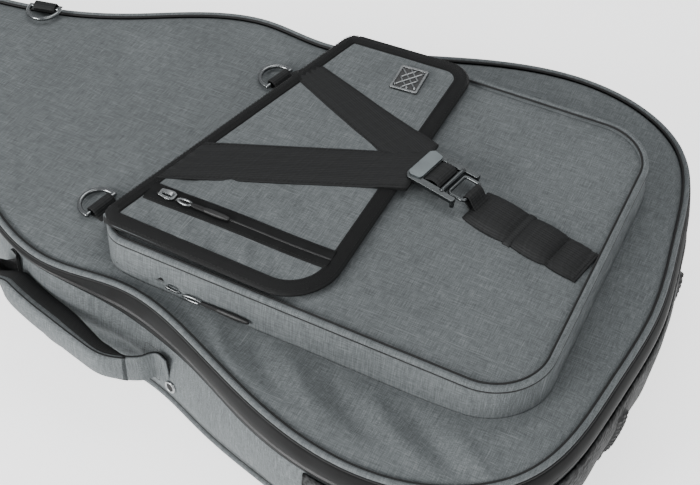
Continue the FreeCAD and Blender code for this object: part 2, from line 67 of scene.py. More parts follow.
def middle(node):
    lo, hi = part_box(node)
    return (Vector(lo) + Vector(hi)) / 2


HALF_LENGTH = 0.5 * (high("side_wall")[0] - low("side_wall")[0]) - 1.1 * MM
BOUT_HALF = high("side_wall")[1] - 0.5 * MM
WAIST_HALF, UPPER_HALF, NECK_HALF = 0.7275 * BOUT_HALF, 0.7495 * BOUT_HALF, 0.3385 * BOUT_HALF
AT_BOUT, AT_WAIST, AT_UPPER = 145 * MM, 372 * MM, 437 * MM
BACK_LOW, BACK_TOP = low("back_panel")[2], high("back_panel")[2]
WALL_TOP = high("side_wall")[2]
ZIP_Z = 0.5 * (high("zip_teeth_shell")[2] + low("zip_teeth_lid")[2])
LID_Z = middle("lid_piping")[2]
POCKET_TOP = high("pocket_face")[2]
FLAP_TOP = high("flap_panel")[2]
FLAP_SLANT, STRAP_SLANT = math.radians(14), math.radians(12.5)
FLAP_HINGE_X = 177 * MM


# ---------------------------------------------------------------- mesh helpers

def smoothstep(value, start, stop):
    t = np.clip((value - start) / (stop - start), 0, 1)
    return t * t * (3 - 2 * t)


def new_piece(name, verts, faces, uvs=None, sharp=None):
    """A mesh object in the frame's metres; uvs is one pair per vertex, in metres on the cloth."""
    mesh = bpy.data.meshes.new(name)
    mesh.from_pydata([tuple(map(float, v)) for v in verts], [], faces)
    if uvs is not None:
        layer = mesh.uv_layers.new(name="weave")
        for loop in mesh.loops:
            layer.data[loop.index].uv = uvs[loop.vertex_index]
    mesh.validate()
    piece = bpy.data.objects.new(name, mesh)
    bpy.context.scene.collection.objects.link(piece)
    bm = bmesh.new()
    bm.from_mesh(mesh)
    bmesh.ops.remove_doubles(bm, verts=bm.verts, dist=1e-6)
    bmesh.ops.recalc_face_normals(bm, faces=bm.faces)
    bm.to_mesh(mesh)
    bm.free()
    for polygon in mesh.polygons:
        polygon.use_smooth = True
    if sharp:
        mesh.set_sharp_from_angle(angle=math.radians(sharp))
    return piece


def loft(name, grid, wrap_rows=False, wrap_cols=False, caps=False, sharp=None):
    """A sheet through a grid of points, rows by columns, closed either way if asked."""
    grid = np.asarray(grid, float)
    rows, cols = grid.shape[:2]
    along = np.zeros((rows, cols))
    across = np.zeros((rows, cols))
    along[:, 1:] = np.cumsum(np.linalg.norm(np.diff(grid, axis=1), axis=2), axis=1)
    across[1:, :] = np.cumsum(np.linalg.norm(np.diff(grid, axis=0), axis=2), axis=0)
    uvs = np.stack([along, across], -1).reshape(-1, 2)
    faces = []
    for r in range(rows if wrap_rows else rows - 1):
        for c in range(cols if wrap_cols else cols - 1):
            r2, c2 = (r + 1) % rows, (c + 1) % cols
            faces.append((r * cols + c, r * cols + c2, r2 * cols + c2, r2 * cols + c))
    if caps:
        faces.append(tuple(r * cols for r in range(rows)))
        faces.append(tuple(r * cols + cols - 1 for r in reversed(range(rows))))
    return new_piece(name, grid.reshape(-1, 3), faces, uvs, sharp)


def path_frames(path, closed, up=(0, 0, 1)):
    """Tangent, side and up vectors along a path; side lies across the given up direction."""
    path = np.asarray(path, float)
    if closed:
        tangent = np.roll(path, -1, 0) - np.roll(path, 1, 0)
    else:
        tangent = np.gradient(path, axis=0)
    tangent /= np.linalg.norm(tangent, axis=1)[:, None]
    side = np.cross(tangent, np.asarray(up, float))
    side /= np.maximum(np.linalg.norm(side, axis=1), 1e-9)[:, None]
    return path, tangent, side, np.cross(side, tangent)


def sweep(name, path, section, closed=False, up=(0, 0, 1), scale=None, sharp=None):
    """A closed section of (side, up) points carried along a path."""
    path, _, side, above = path_frames(path, closed, up)
    scale = np.ones(len(path)) if scale is None else np.asarray(scale, float)
    rows = [path + side * (a * scale)[:, None] + above * (b * scale)[:, None] for a, b in section]
    return loft(name, np.array(rows), wrap_rows=True, wrap_cols=closed, caps=not closed, sharp=sharp)


def in_mm(points):
    """Points of a table written in millimetres, in metres."""
    return [tuple(value * MM for value in point) for point in points]


def round_section(radius, sides, flat):
    angles = np.linspace(0, 2 * math.pi, sides, endpoint=False)
    return [(radius * math.cos(a), radius * flat * math.sin(a)) for a in angles]


def strap_section(width, thick):
    """A flat webbing's section with rounded edges."""
    half, edge = width / 2, thick / 2
    upper = [(x * half, edge) for x in np.linspace(-0.96, 0.96, 9)]
    lower = [(x * half, -edge) for x in np.linspace(0.96, -0.96, 5)]
    return upper + [(half, 0.0)] + lower + [(-half, 0.0)]


def wander(x, y, z=0.0, size=0.06, seed=0.0):
    """Smooth unevenness between -1 and 1 with features of about the given size."""
    return noise.noise(Vector((x / size + seed, y / size - seed, z / size + 2 * seed)))


def thicken(piece, thickness, offset=-1.0):
    modifier = piece.modifiers.new("cloth", "SOLIDIFY")
    modifier.thickness, modifier.offset = thickness, offset
    return piece


def bevel(piece, width, segments):
    """Round the edges where faces meet at more than 30 degrees."""
    modifier = piece.modifiers.new("edges", "BEVEL")
    modifier.width, modifier.segments = width, segments
    modifier.limit_method, modifier.angle_limit = "ANGLE", math.radians(30)
    modifier.harden_normals = True
    return piece


def settle(piece):
    """Apply a piece's modifiers by swapping in the evaluated mesh."""
    graph = bpy.context.evaluated_depsgraph_get()
    mesh = bpy.data.meshes.new_from_object(piece.evaluated_get(graph))
    piece.modifiers.clear()
    piece.data = mesh
    return piece


def cap_ends(piece):
    """Close a tube's open ends."""
    bm = bmesh.new()
    bm.from_mesh(piece.data)
    bmesh.ops.holes_fill(bm, edges=[e for e in bm.edges if e.is_boundary], sides=0)
    bmesh.ops.recalc_face_normals(bm, faces=bm.faces)
    bm.to_mesh(piece.data)
    bm.free()
    return piece


def capped_loft(name, grid, sharp=None):
    return cap_ends(loft(name, grid, wrap_cols=True, sharp=sharp))


# ---------------------------------------------------------------- the bag's outline

def closed_spline(points, count):
    """Even stations along the smooth closed curve through points, with outward normals."""
    points = np.asarray(points, float)
    size = len(points)
    steps = np.linalg.norm(np.roll(points, -1, 0) - points, axis=1)
    matrix = np.zeros((size, size))
    right = np.zeros((size, 2))
    for i in range(size):
        before, after = steps[i - 1], steps[i]
        following = (i + 1) % size
        matrix[i, i - 1] += before
        matrix[i, i] += 2 * (before + after)
        matrix[i, following] += after
        right[i] = 6 * ((points[following] - points[i]) / after - (points[i] - points[i - 1]) / before)
    bend = np.linalg.solve(matrix, right)
    dense = []
    for i in range(size):
        j, step = (i + 1) % size, steps[i]
        for t in np.linspace(0, 1, 64, endpoint=False):
            a, b = 1 - t, t
            dense.append(a * points[i] + b * points[j]
                         + ((a ** 3 - a) * bend[i] + (b ** 3 - b) * bend[j]) * step * step / 6)
    return even_stations(np.array(dense), count)


def even_stations(dense, count):
    """Resample a closed polyline evenly and give each station's normal, out of the shape."""
    loop = np.vstack([dense, dense[:1]])
    travel = np.concatenate([[0], np.cumsum(np.linalg.norm(np.diff(loop, axis=0), axis=1))])
    wanted = np.linspace(0, travel[-1], count, endpoint=False)
    points = np.stack([np.interp(wanted, travel, loop[:, k]) for k in (0, 1)], -1)
    tangent = np.roll(points, -1, 0) - np.roll(points, 1, 0)
    tangent /= np.linalg.norm(tangent, axis=1)[:, None]
    normal = np.stack([tangent[:, 1], -tangent[:, 0]], -1)
    x, y = points.T
    area = 0.5 * np.sum(x * np.roll(y, -1) - np.roll(x, -1) * y)
    return points, normal if area > 0 else -normal


def half_outline():
    """Distance from the bottom end and half width, from the bottom end to the head."""
    reach = AT_WAIST - AT_BOUT
    drop = BOUT_HALF - WAIST_HALF
    return [
        (0, 0), (0.055 * AT_BOUT, 0.36 * BOUT_HALF), (0.25 * AT_BOUT, 0.79 * BOUT_HALF),
        (0.57 * AT_BOUT, 0.945 * BOUT_HALF), (AT_BOUT, BOUT_HALF),
        (AT_BOUT + 0.33 * reach, WAIST_HALF + 0.79 * drop),
        (AT_BOUT + 0.68 * reach, WAIST_HALF + 0.3 * drop),
        (AT_WAIST, WAIST_HALF), (AT_UPPER, UPPER_HALF), (AT_UPPER + 64 * MM, UPPER_HALF - 18.5 * MM),
        (AT_UPPER + 123 * MM, UPPER_HALF - 51.5 * MM), (AT_UPPER + 183 * MM, UPPER_HALF - 75.5 * MM),
        (AT_UPPER + 263 * MM, NECK_HALF + 4 * MM), (AT_UPPER + 400 * MM, NECK_HALF),
        (2 * HALF_LENGTH - 90 * MM, NECK_HALF - MM), (2 * HALF_LENGTH - 20 * MM, 0.68 * NECK_HALF),
        (2 * HALF_LENGTH, 0),
    ]


def bag_outline(count):
    """Stations from the bottom end along the near side to the head, and back along the far side."""
    half = half_outline()
    near = [(HALF_LENGTH - x, -w) for x, w in half]
    far = [(HALF_LENGTH - x, w) for x, w in half[-2:0:-1]]
    return closed_spline(near + far, count)


AROUND = 900
EDGE, OUT = bag_outline(AROUND)


def rounded_polygon(corners, radii, count):
    """Even stations round a polygon whose corners are arcs."""
    corners = [np.array(c, float) for c in corners]
    dense = []
    for i, corner in enumerate(corners):
        before = corners[i - 1] - corner
        after = corners[(i + 1) % len(corners)] - corner
        before /= np.linalg.norm(before)
        after /= np.linalg.norm(after)
        half_turn = math.acos(np.clip(before @ after, -1, 1)) / 2
        reach = radii[i] / math.tan(half_turn)
        inward = (before + after) / np.linalg.norm(before + after)
        centre = corner + inward * radii[i] / math.sin(half_turn)
        start, stop = corner + before * reach - centre, corner + after * reach - centre
        sweep_angle = math.pi - 2 * half_turn
        for t in np.linspace(0, 1, 24):
            spoke = math.sin((1 - t) * sweep_angle) * start + math.sin(t * sweep_angle) * stop
            dense.append(centre + spoke / math.sin(sweep_angle))
    return even_stations(np.array(dense), count)


def mm_polygon(*corners):
    """A rounded polygon from (x, y, radius) corners in millimetres."""
    table = in_mm(corners)
    return rounded_polygon([(x, y) for x, y, _ in table], [radius for _, _, radius in table], 560)


# ---------------------------------------------------------------- materials

MATERIALS = {}


class Nodes:
    """A new material, kept by its name, and short calls for building its nodes."""

    def __init__(self, name):
        self.material = MATERIALS[name] = bpy.data.materials.new(name)
        self.material.use_nodes = True
        self.tree = self.material.node_tree
        self.shader = self.tree.nodes["Principled BSDF"]

    def feed(self, socket, value):
        """Link a socket to another node's output, or set it to a plain value."""
        if isinstance(value, bpy.types.NodeSocket):
            self.tree.links.new(value, socket)
        else:
            socket.default_value = value

    def add(self, kind, inputs=None, **settings):
        node = self.tree.nodes.new("ShaderNode" + kind)
        for key, value in settings.items():
            setattr(node, key, value)
        for key, value in (inputs or {}).items():
            self.feed(node.inputs[key], value)
        return node

    def set(self, **values):
        for key, value in values.items():
            self.feed(self.shader.inputs[key.replace("_", " ")], value)

    def place(self, scale, uv=False, turn=0.0):
        """Coordinates in the frame or on the cloth, stretched by one scale or one for each axis."""
        source = self.add("UVMap", uv_map="weave") if uv else self.add("TexCoord")
        return self.add("Mapping", {"Vector": source.outputs["UV" if uv else "Object"],
                                    "Scale": scale if isinstance(scale, tuple) else (scale,) * 3,
                                    "Rotation": (0, 0, turn)}).outputs[0]

    def noise(self, scale, detail=2.0, rough=0.5, **placing):
        return self.add("TexNoise", {"Vector": self.place(scale, **placing), "Scale": 1.0,
                                     "Detail": detail, "Roughness": rough}).outputs["Fac"]

    def voronoi(self, scale, randomness, feature):
        return self.add("TexVoronoi", {"Vector": self.place(scale), "Scale": 1.0,
                                       "Randomness": randomness}, feature=feature).outputs["Distance"]

    def ramp(self, value, *stops):
        """Greys along a value: each stop is a place, a tone and, where it isn't neutral, a coolness."""
        node = self.add("ValToRGB", {"Fac": value})
        elements = node.color_ramp.elements
        while len(elements) < len(stops):
            elements.new(0.5)
        for element, (at, *tone) in zip(elements, stops):
            element.position = at
            element.color = (*grey(*tone), 1)
        return node.outputs["Color"]

    def math(self, operation, a, b):
        node = self.add("Math", operation=operation)
        for socket, value in zip(node.inputs, (a, b)):
            self.feed(socket, value)
        return node.outputs[0]

    def total(self, a, b, share_a=1.0, share_b=1.0):
        """The weighted sum of two values."""
        a = a if share_a == 1.0 else self.math("MULTIPLY", a, share_a)
        b = b if share_b == 1.0 else self.math("MULTIPLY", b, share_b)
        return self.math("ADD", a, b)

    def mean(self, a, b):
        return self.math("MULTIPLY", self.math("ADD", a, b), 0.5)

    def mix(self, a, b, factor, blend="MIX"):
        node = self.add("Mix", data_type="RGBA", blend_type=blend)
        for key, value in (("Factor", factor), ("A", a), ("B", b)):
            socket = [s for s in node.inputs if s.name == key and s.enabled][0]
            self.feed(socket, (*value, 1) if isinstance(value, tuple) else value)
        return [s for s in node.outputs if s.enabled][0]

    def bump(self, height, distance, strength):
        node = self.add("Bump", {"Height": height, "Distance": distance, "Strength": strength})
        self.set(Normal=node.outputs["Normal"])


def grey(value, cool=0.0):
    return (value * (1 - cool), value * (1 + 0.1 * cool), value * (1 + 0.4 * cool))


def heather_material():
    """Slub-woven heather grey: streaks of light and dark threads both ways, small weave relief."""
    n = Nodes("heather_fabric")
    lengthwise = n.noise((90, 1700, 1700), detail=3, rough=0.65)
    crosswise = n.noise((1700, 90, 100), detail=3, rough=0.65)
    weave = n.mean(lengthwise, crosswise)
    base = n.ramp(weave, (0.34, 0.074, 0.08), (0.5, 0.126, 0.08), (0.66, 0.2, 0.06))
    long_slub, cross_slub = n.noise((30, 1000, 1000), detail=1), n.noise((1000, 32, 36), detail=1)
    slubs = n.math("MAXIMUM", n.math("MULTIPLY", n.math("SUBTRACT", long_slub, 0.68), 5.0),
                   n.math("MULTIPLY", n.math("SUBTRACT", cross_slub, 0.69), 4.5))
    slubs = n.math("MAXIMUM", slubs, 0.0)
    base = n.mix(base, grey(0.25, 0.06), n.math("MINIMUM", slubs, 0.55))
    patch = n.ramp(n.noise(14, detail=3), (0.3, 0.92), (0.7, 1.07))
    n.set(Base_Color=n.mix(base, patch, 1.0, "MULTIPLY"), Roughness=0.9, Specular_IOR_Level=0.2)
    fine = n.total(n.noise((900, 1900, 1900), detail=1), n.noise((1900, 900, 900), detail=1))
    n.bump(n.total(fine, weave, 0.6), 0.00035, 0.55)


def webbing_material(name, tone, ribs):
    """Ribbed black webbing: fine cross ribs and long stripes between them."""
    n = Nodes(name)
    cross = n.add("TexWave", {"Vector": n.place(1, uv=True), "Scale": ribs / 6.28, "Distortion": 0.6,
                              "Detail": 1.0, "Detail Scale": 3.0}, wave_type="BANDS",
                  bands_direction="X").outputs["Fac"]
    stripes, fuzz = n.noise((3, 420, 1), detail=2, uv=True), n.noise(1500, detail=2)
    tint = n.ramp(n.mean(stripes, fuzz),
                  (0.35, tone * 0.7), (0.55, tone * 1.3, 0.05), (0.75, tone * 2.4, 0.05))
    n.set(Base_Color=tint, Roughness=0.66, Specular_IOR_Level=0.3)
    n.bump(n.total(cross, fuzz, 0.8, 0.5), 0.00035, 0.7)


def tape_material():
    """Smooth coated zip tape with a faint twill."""
    n = Nodes("zip_tape")
    tint = n.ramp(n.noise(60, detail=3), (0.35, 0.0065), (0.7, 0.011, 0.04))
    n.set(Base_Color=tint, Roughness=0.68, Specular_IOR_Level=0.14)
    n.bump(n.noise((1400, 500, 700), detail=1, turn=0.6), 0.00015, 0.5)


def boot_material():
    """Black pebble-grained vinyl over a broad uneven tone, its colour lighter on the raised grain as painted
    highlight where the grain catches light.
    """
    n = Nodes("boot_vinyl")
    pebble, broad = n.voronoi(330, 1.0, "SMOOTH_F1"), n.noise(70, detail=4, rough=0.6)
    # painted highlight: the colour follows the same pebble relief as the bump, so the raised grain is lighter
    # as if lit
    tint = n.ramp(n.total(pebble, broad, 0.5, 0.6), (0.38, 0.004), (0.5, 0.010, 0.03), (0.66, 0.036, 0.03))
    n.set(Base_Color=tint, Roughness=0.66, Specular_IOR_Level=0.2)
    n.bump(n.total(pebble, broad, 1.0, 0.7), 0.0012, 0.8)


def plain_material(name, tone, roughness, metallic=0.0, grain=0.0002, scale=600, cool=0.0):
    """Moulded, rubber or metal surface with fine grain and slight unevenness of gloss."""
    n = Nodes(name)
    fine, broad = n.noise(scale, detail=2), n.noise(45, detail=3)
    tint = n.ramp(broad, (0.3, tone * 0.85, cool), (0.7, tone * 1.15, cool))
    gloss = n.ramp(n.mean(fine, broad), (0.35, max(roughness - 0.07, 0.03)), (0.65, roughness + 0.08))
    n.set(Base_Color=tint, Roughness=gloss, Metallic=metallic)
    n.bump(fine, grain, 0.35)


def metal(name, tone, roughness, cool):
    plain_material(name, tone, roughness, metallic=1.0, grain=0.00001, cool=cool)


def plush_material():
    n = Nodes("plush_lining")
    pile, brush = n.noise(700, detail=3, rough=0.7), n.noise((30, 60, 40), detail=3)
    tint = n.ramp(n.mean(pile, brush), (0.3, 0.03), (0.5, 0.055, 0.03), (0.7, 0.1, 0.03))
    n.set(Base_Color=tint, Roughness=0.95, Sheen_Weight=0.6, Sheen_Roughness=0.5)
    n.bump(pile, 0.0012, 0.7)


def mesh_material():
    """Spacer mesh: small hexagonal holes over black foam."""
    n = Nodes("air_mesh")
    cells = n.voronoi(300, 0.12, "DISTANCE_TO_EDGE")
    n.set(Base_Color=n.ramp(cells, (0.05, 0.045, 0.03), (0.3, 0.012)), Roughness=0.85, Sheen_Weight=0.2)
    n.bump(cells, 0.0012, -0.8)


heather_material()
webbing_material("black_webbing", 0.0095, 900)
webbing_material("black_binding", 0.005, 1500)
tape_material()
plain_material("zip_coil", 0.012, 0.42)
mesh_material()
plush_material()
boot_material()
plain_material("tread_rubber", 0.014, 0.6, grain=0.0004)
plain_material("moulded_plastic", 0.015, 0.38)
metal("gunmetal", 0.1, 0.3, 0.06)
metal("satin_gunmetal", 0.2, 0.42, 0.1)
metal("nickel", 0.3, 0.28, 0.03)
plain_material("cord_grip", 0.012, 0.5, grain=0.0003)
# near-black colour of real stitch thread, also used for the thin strips and discs that stand in as painted
# shade in seam grooves and eyelet holes
plain_material("seam_thread", 0.008, 0.8)
plain_material("pale_thread", 0.16, 0.8)
metal("ring_metal", 0.22, 0.24, 0.04)
plain_material("badge_field", 0.03, 0.4, grain=0.0003)
plain_material("cord_fabric", 0.01, 0.8, grain=0.0006, scale=1500)


def finish_piece(piece, body, slot, *nodes, material=None):
    """Give a piece its cloth or metal and its body, and hide the CAD nodes it stands for."""
    piece.data.materials.clear()
    piece.data.materials.append(MATERIALS[material or slot])
    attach(piece, body)
    if nodes:
        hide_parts(*nodes)
    return piece


def tube(name, path, radius, sides, body, slot, *nodes, material=None, flat=1.0, **sweeping):
    """A round cord, wire or bar along a path; flat squeezes its section."""
    piece = sweep(name, path, round_section(radius, sides, flat), **sweeping)
    finish_piece(piece, body, slot, *nodes, material=material)


def finish_pad(piece, fill, body, slot, *nodes):
    """Finish a padded piece like any other; its fill argument, how full it is, is not used."""
    finish_piece(piece, body, slot, *nodes)


# ---------------------------------------------------------------- soft surfaces

def pad(name, edge, anchors, top, bottom, rings=30, rim=4, bulge=0.0, normals=None, ease=1.3):
    """A closed cushion over an outline; its two height fields take points and their depth from the edge."""
    reach = np.linalg.norm(edge - anchors, axis=1)
    inward = np.linspace(0, 1, rings) ** ease

    def ring(t, height):
        flat = anchors + (edge - anchors) * (1 - t)
        return np.column_stack([flat, height(flat, reach * t)])

    rows = [ring(t, top) for t in inward[::-1]]
    upper, lower = ring(0, top)[:, 2], ring(0, bottom)[:, 2]
    for k in range(1, rim):
        share = k / rim
        push = bulge * math.sin(math.pi * share)
        flat = edge + (normals * push if normals is not None else 0)
        rows.append(np.column_stack([flat, upper * (1 - share) + lower * share]))
    rows += [ring(t, bottom) for t in inward]
    return loft(name, rows, wrap_cols=True)


def fan(points, centre):
    return np.tile(np.array(centre, float), (len(points), 1))


def bag_pad(name, edge, top, bottom, **settings):
    """A cushion over the whole bag's outline, closing in on the bag's centre line."""
    centre_line = np.column_stack([np.clip(edge[:, 0], 70 * MM - HALF_LENGTH, HALF_LENGTH - 200 * MM),
                                   np.zeros(len(edge))])
    return pad(name, edge, centre_line, top, bottom, **settings)


def puffed(level, crown, seam, width=10 * MM, wrinkle=0.0, size=40 * MM, seed=1.0):
    """Height of stuffed cloth: low at its seam, rounding up to a crown, a little uneven."""
    def height(flat, depth):
        rise = 1 - np.exp(-depth / width)
        uneven = np.array([wander(x, y, 0, size, seed) + 0.5 * wander(x, y, 0, size / 2.3, seed + 5)
                           for x, y in flat])
        return level - seam + (seam + crown) * rise + wrinkle * uneven * rise
    return height


def flat_at(level):
    return lambda flat, depth: np.full(len(flat), level)


def crease(x, y, start, stop, width, depth):
    """A soft fold's height along a line on the cloth, fading out at both ends."""
    run = np.subtract(stop, start)
    length = np.linalg.norm(run)
    ux, uy = run / length
    along = ((x - start[0]) * ux + (y - start[1]) * uy) / length
    across = -(x - start[0]) * uy + (y - start[1]) * ux + 0.06 * length * np.sin(3 * along)
    fade = smoothstep(along, 0, 0.35) * (1 - smoothstep(along, 0.65, 1))
    return depth * fade * np.exp(-(across / width) ** 2)


# ---------------------------------------------------------------- wall, zip and piping

def seam_drop(points):
    """How far the wall's top seam sags below its level height along the near side."""
    x, y = points[:, 0], points[:, 1]
    stations = [-20, 50, 105, 137, 155, 184, 213, 242, 270, 300, 335, 388, 414]
    drops = [0, -9, -14, -15, -9, 1, 12.5, 13.5, 9, 8, 8.5, 1.5, -1]
    sag = np.interp(x / MM, stations, drops) * MM
    return np.where(y < 0, sag * smoothstep(x, -0.03, 0.03), 0.0)


def soften(values):
    """Smooth values running round the outline, in 40 small steps."""
    for _ in range(40):
        values = 0.25 * np.roll(values, 1) + 0.5 * values + 0.25 * np.roll(values, -1)
    return values


DROP = soften(seam_drop(EDGE))
SEAM_Z = np.minimum(WALL_TOP - DROP, LID_Z - 6.5 * MM)
EDGE_X, EDGE_Y = EDGE.T
SEAM_OUT = soften((1.5 + 3.4 * smoothstep(EDGE_X, 0.26, 0.42) * (EDGE_Y < 0.12)) * MM)
WAIST = soften(smoothstep(EDGE_X, 0.05, 0.14) * (1 - smoothstep(EDGE_X, 0.27, 0.37)) * (EDGE_Y < 0))
FOOT_FLARE = 9.0 * MM * WAIST


def wall_bulge(station, z):
    """How far the padded wall stands out of the flat outline at a height."""
    up = min(max((z - BACK_TOP) / (SEAM_Z[station] - BACK_TOP), 0.0), 1.0)
    x, y = EDGE[station]
    waist = WAIST[station]
    swell = (6.5 + 1.0 * waist) * MM * math.sin(math.pi * up ** 0.8) ** 0.85
    swell += SEAM_OUT[station] * smoothstep(up, 0.35, 1.0)
    flare = FOOT_FLARE[station] * (1 - up) ** 1.5
    fold = -4.5 * MM * waist * math.exp(-((up - 0.42) / 0.12) ** 2) * smoothstep(-x, -0.24, -0.19)
    lower = 1 - up
    small = wander(x, y, z * 0.45, 30 * MM, 3.0) * (0.7 + 2.4 * lower) * MM
    broad = wander(x, y, z * 0.5, 110 * MM, 9.0) * 1.8 * MM
    return swell + flare + fold + (small + broad) * (0.1 + math.sin(math.pi * up) ** 0.8)


def wall_face(station, z, out=0.0):
    """A point on the wall's outside at a station of the outline, or a little out of it."""
    return Vector((*(EDGE[station] + OUT[station] * (wall_bulge(station, max(z, BACK_TOP)) + out)), z))


def wall_point(x, z, out=0.0):
    """A point on the near wall's outside at a distance along the bag."""
    near = [i for i in range(AROUND) if EDGE[i, 1] < -60 * MM]
    return wall_face(min(near, key=lambda i: abs(EDGE[i, 0] - x)), z, out)


def round_outline(offset, z):
    """A line round the outline at an offset and height, each a number or one per station."""
    offset = np.broadcast_to(np.asarray(offset, float), AROUND)
    return np.column_stack([EDGE + OUT * offset[:, None], np.broadcast_to(z, AROUND)])


def wall_rows(z_values):
    """Rows of points following the bulged wall, each z value from 0 at the back to 1 at its top seam."""
    rows = []
    for share in z_values:
        z = BACK_TOP + (SEAM_Z - BACK_TOP) * share
        rows.append(round_outline([wall_bulge(i, z[i]) for i in range(AROUND)], z))
    return rows


def make_wall():
    outer = [round_outline(FOOT_FLARE, BACK_TOP - 8 * MM)] + wall_rows(np.linspace(0, 1, 22))
    inner = [round_outline(-13 * MM, row[:, 2]) for row in outer[::-3]]
    wall = loft("padded_wall", outer + inner, wrap_rows=True, wrap_cols=True)
    finish_pad(wall, 0.8, "shell", "heather_fabric", "side_wall")


def tape_band(name, lower, upper, belly, body, node, rows):
    """A strip of zip tape round the outline between two (offset, z) edges."""
    grid = []
    for share in np.linspace(0, 1, rows):
        offset, z = (np.asarray(a) * (1 - share) + np.asarray(b) * share for a, b in zip(lower, upper))
        grid.append(round_outline(offset + belly * math.sin(math.pi * share), z))
    strip = thicken(loft(name, grid, wrap_cols=True), 1.2 * MM, 0)
    finish_piece(strip, body, "zip_tape", node)


def outline_tube(name, offset, z, radius, body, slot, *nodes, material=None, sides=12):
    """A cord or welt running round the whole outline."""
    tube(name, round_outline(offset, z), radius, sides, body, slot, *nodes, material=material, closed=True)


def make_zip_band():
    """Coated tapes bulging between wall and lid, with the coil in their gap and a bound lower seam."""
    sag = np.clip(DROP, 0, None)
    foot = np.array([wall_bulge(i, SEAM_Z[i]) for i in range(AROUND)]) - 0.4 * MM
    coil_z = np.minimum(ZIP_Z - 0.35 * sag + 0.8 * np.clip(-DROP, 0, None), LID_Z - 4.5 * MM)
    coil_out = foot + 1.6 * MM + 0.12 * sag
    tape_band("zip_tape_below", (foot, SEAM_Z - 1.5 * MM), (coil_out, coil_z - 1.6 * MM), 0.4 * MM,
              "shell", "zip_tape_shell", 5)
    tape_band("zip_tape_above", (coil_out, coil_z + 1.4 * MM), (2.2 * MM, LID_Z - 1.4 * MM), 1.6 * MM,
              "lid", "zip_tape_lid", 7)
    outline_tube("coil_below", coil_out + 0.2 * MM, coil_z - 0.8 * MM, 0.95 * MM, "shell", "zip_coil",
                 "zip_teeth_shell", sides=8)
    outline_tube("coil_above", coil_out + 0.2 * MM, coil_z + 1.1 * MM, 0.85 * MM, "lid", "zip_coil",
                 "zip_teeth_lid", sides=8)
    outline_tube("wall_seam_welt", foot + 0.5 * MM, SEAM_Z - 0.4 * MM, 0.8 * MM, "shell", "zip_tape", sides=8)


def make_piping():
    """Fabric piping round the lid between two thin near-black strips of painted seam shade, and another round
    the back with one such strip above it.
    """
    back_z = middle("back_piping")[2]
    # the thin near-black tubes beside the piping are painted shade in the seam grooves, not cloth or thread
    for name, offset, z, radius, body, *nodes in (
            ("lid_piping_cord", -0.3 * MM, LID_Z + 0.2 * MM, 2.35 * MM, "lid", "lid_piping"),
            ("lid_seam_outside", 2.2 * MM, LID_Z - 1.3 * MM, 0.9 * MM, "lid"),
            ("lid_seam_inside", -3.1 * MM, LID_Z + 0.7 * MM, 1.15 * MM, "lid"),
            ("back_piping_cord", FOOT_FLARE + 0.2 * MM, back_z - 1 * MM, 2.6 * MM, "shell", "back_piping"),
            ("back_seam_above", FOOT_FLARE - 0.4 * MM, back_z + 1.8 * MM, 0.8 * MM, "shell")):
        outline_tube(name, offset, z, radius, body, "heather_fabric", *nodes,
                     **({} if nodes else {"material": "seam_thread", "sides": 6}))


# ---------------------------------------------------------------- lid and back

def lid_relief(x, y):
    """Valley along the pocket's near foot, soft diagonal folds, and broad unevenness."""
    valley_side = smoothstep(-y, 118 * MM, 150 * MM) * (1 - smoothstep(-y, 165 * MM, 205 * MM))
    valley_run = smoothstep(x, 150 * MM, 215 * MM) * (1 - smoothstep(x, 440 * MM, 520 * MM))
    valley = -4.6 * MM * valley_side * valley_run
    waves = [((0.236 + 0.033 * k, -0.146 - 0.002 * k), (0.300 + 0.036 * k, -0.204), 7, 2.6 if k % 2 else -2.6)
             for k in range(8)]
    folds = waves + [((0.120, -0.160), (0.215, -0.135), 7, 1.0), ((0.000, -0.130), (0.110, -0.115), 8, -0.9),
                     ((0.500, -0.050), (0.548, 0.040), 7, 1.0), ((-0.180, -0.050), (-0.040, -0.090), 9, 0.9)]
    return valley + sum(crease(x, y, start, stop, width * MM, depth * MM)
                        for start, stop, width, depth in folds)


def lid_height(flat, depth):
    x, y = flat[:, 0], flat[:, 1]
    rise = 1 - np.exp(-depth / (6 * MM))
    uneven = np.array([wander(a, b, 0, 95 * MM, 2.0) + 0.45 * wander(a, b, 0, 38 * MM, 8.0)
                       for a, b in flat])
    return LID_Z - 2.2 * MM + 3.6 * MM * rise + (lid_relief(x, y) + 0.8 * MM * uneven) * rise


def lid_level(x, y):
    """The lid's height at one point well inside its edge."""
    return float(lid_height(np.array([[x, y]]), np.array([30 * MM]))[0])


def make_lid():
    lid = bag_pad("padded_lid", EDGE - OUT * 2.6 * MM, lid_height,
                  flat_at(high("lid_lining")[2] + 0.5 * MM), rings=46)
    finish_pad(lid, 0.75, "lid", "heather_fabric", "lid_panel")
    lining = bag_pad("lid_plush", EDGE - OUT * 3.5 * MM, flat_at(high("lid_lining")[2]),
                     puffed(low("lid_lining")[2], 0.2 * MM, -0.6 * MM, wrinkle=0.25 * MM), rings=20, rim=2)
    finish_pad(lining, 0.5, "lid", "plush_lining", "lid_lining")


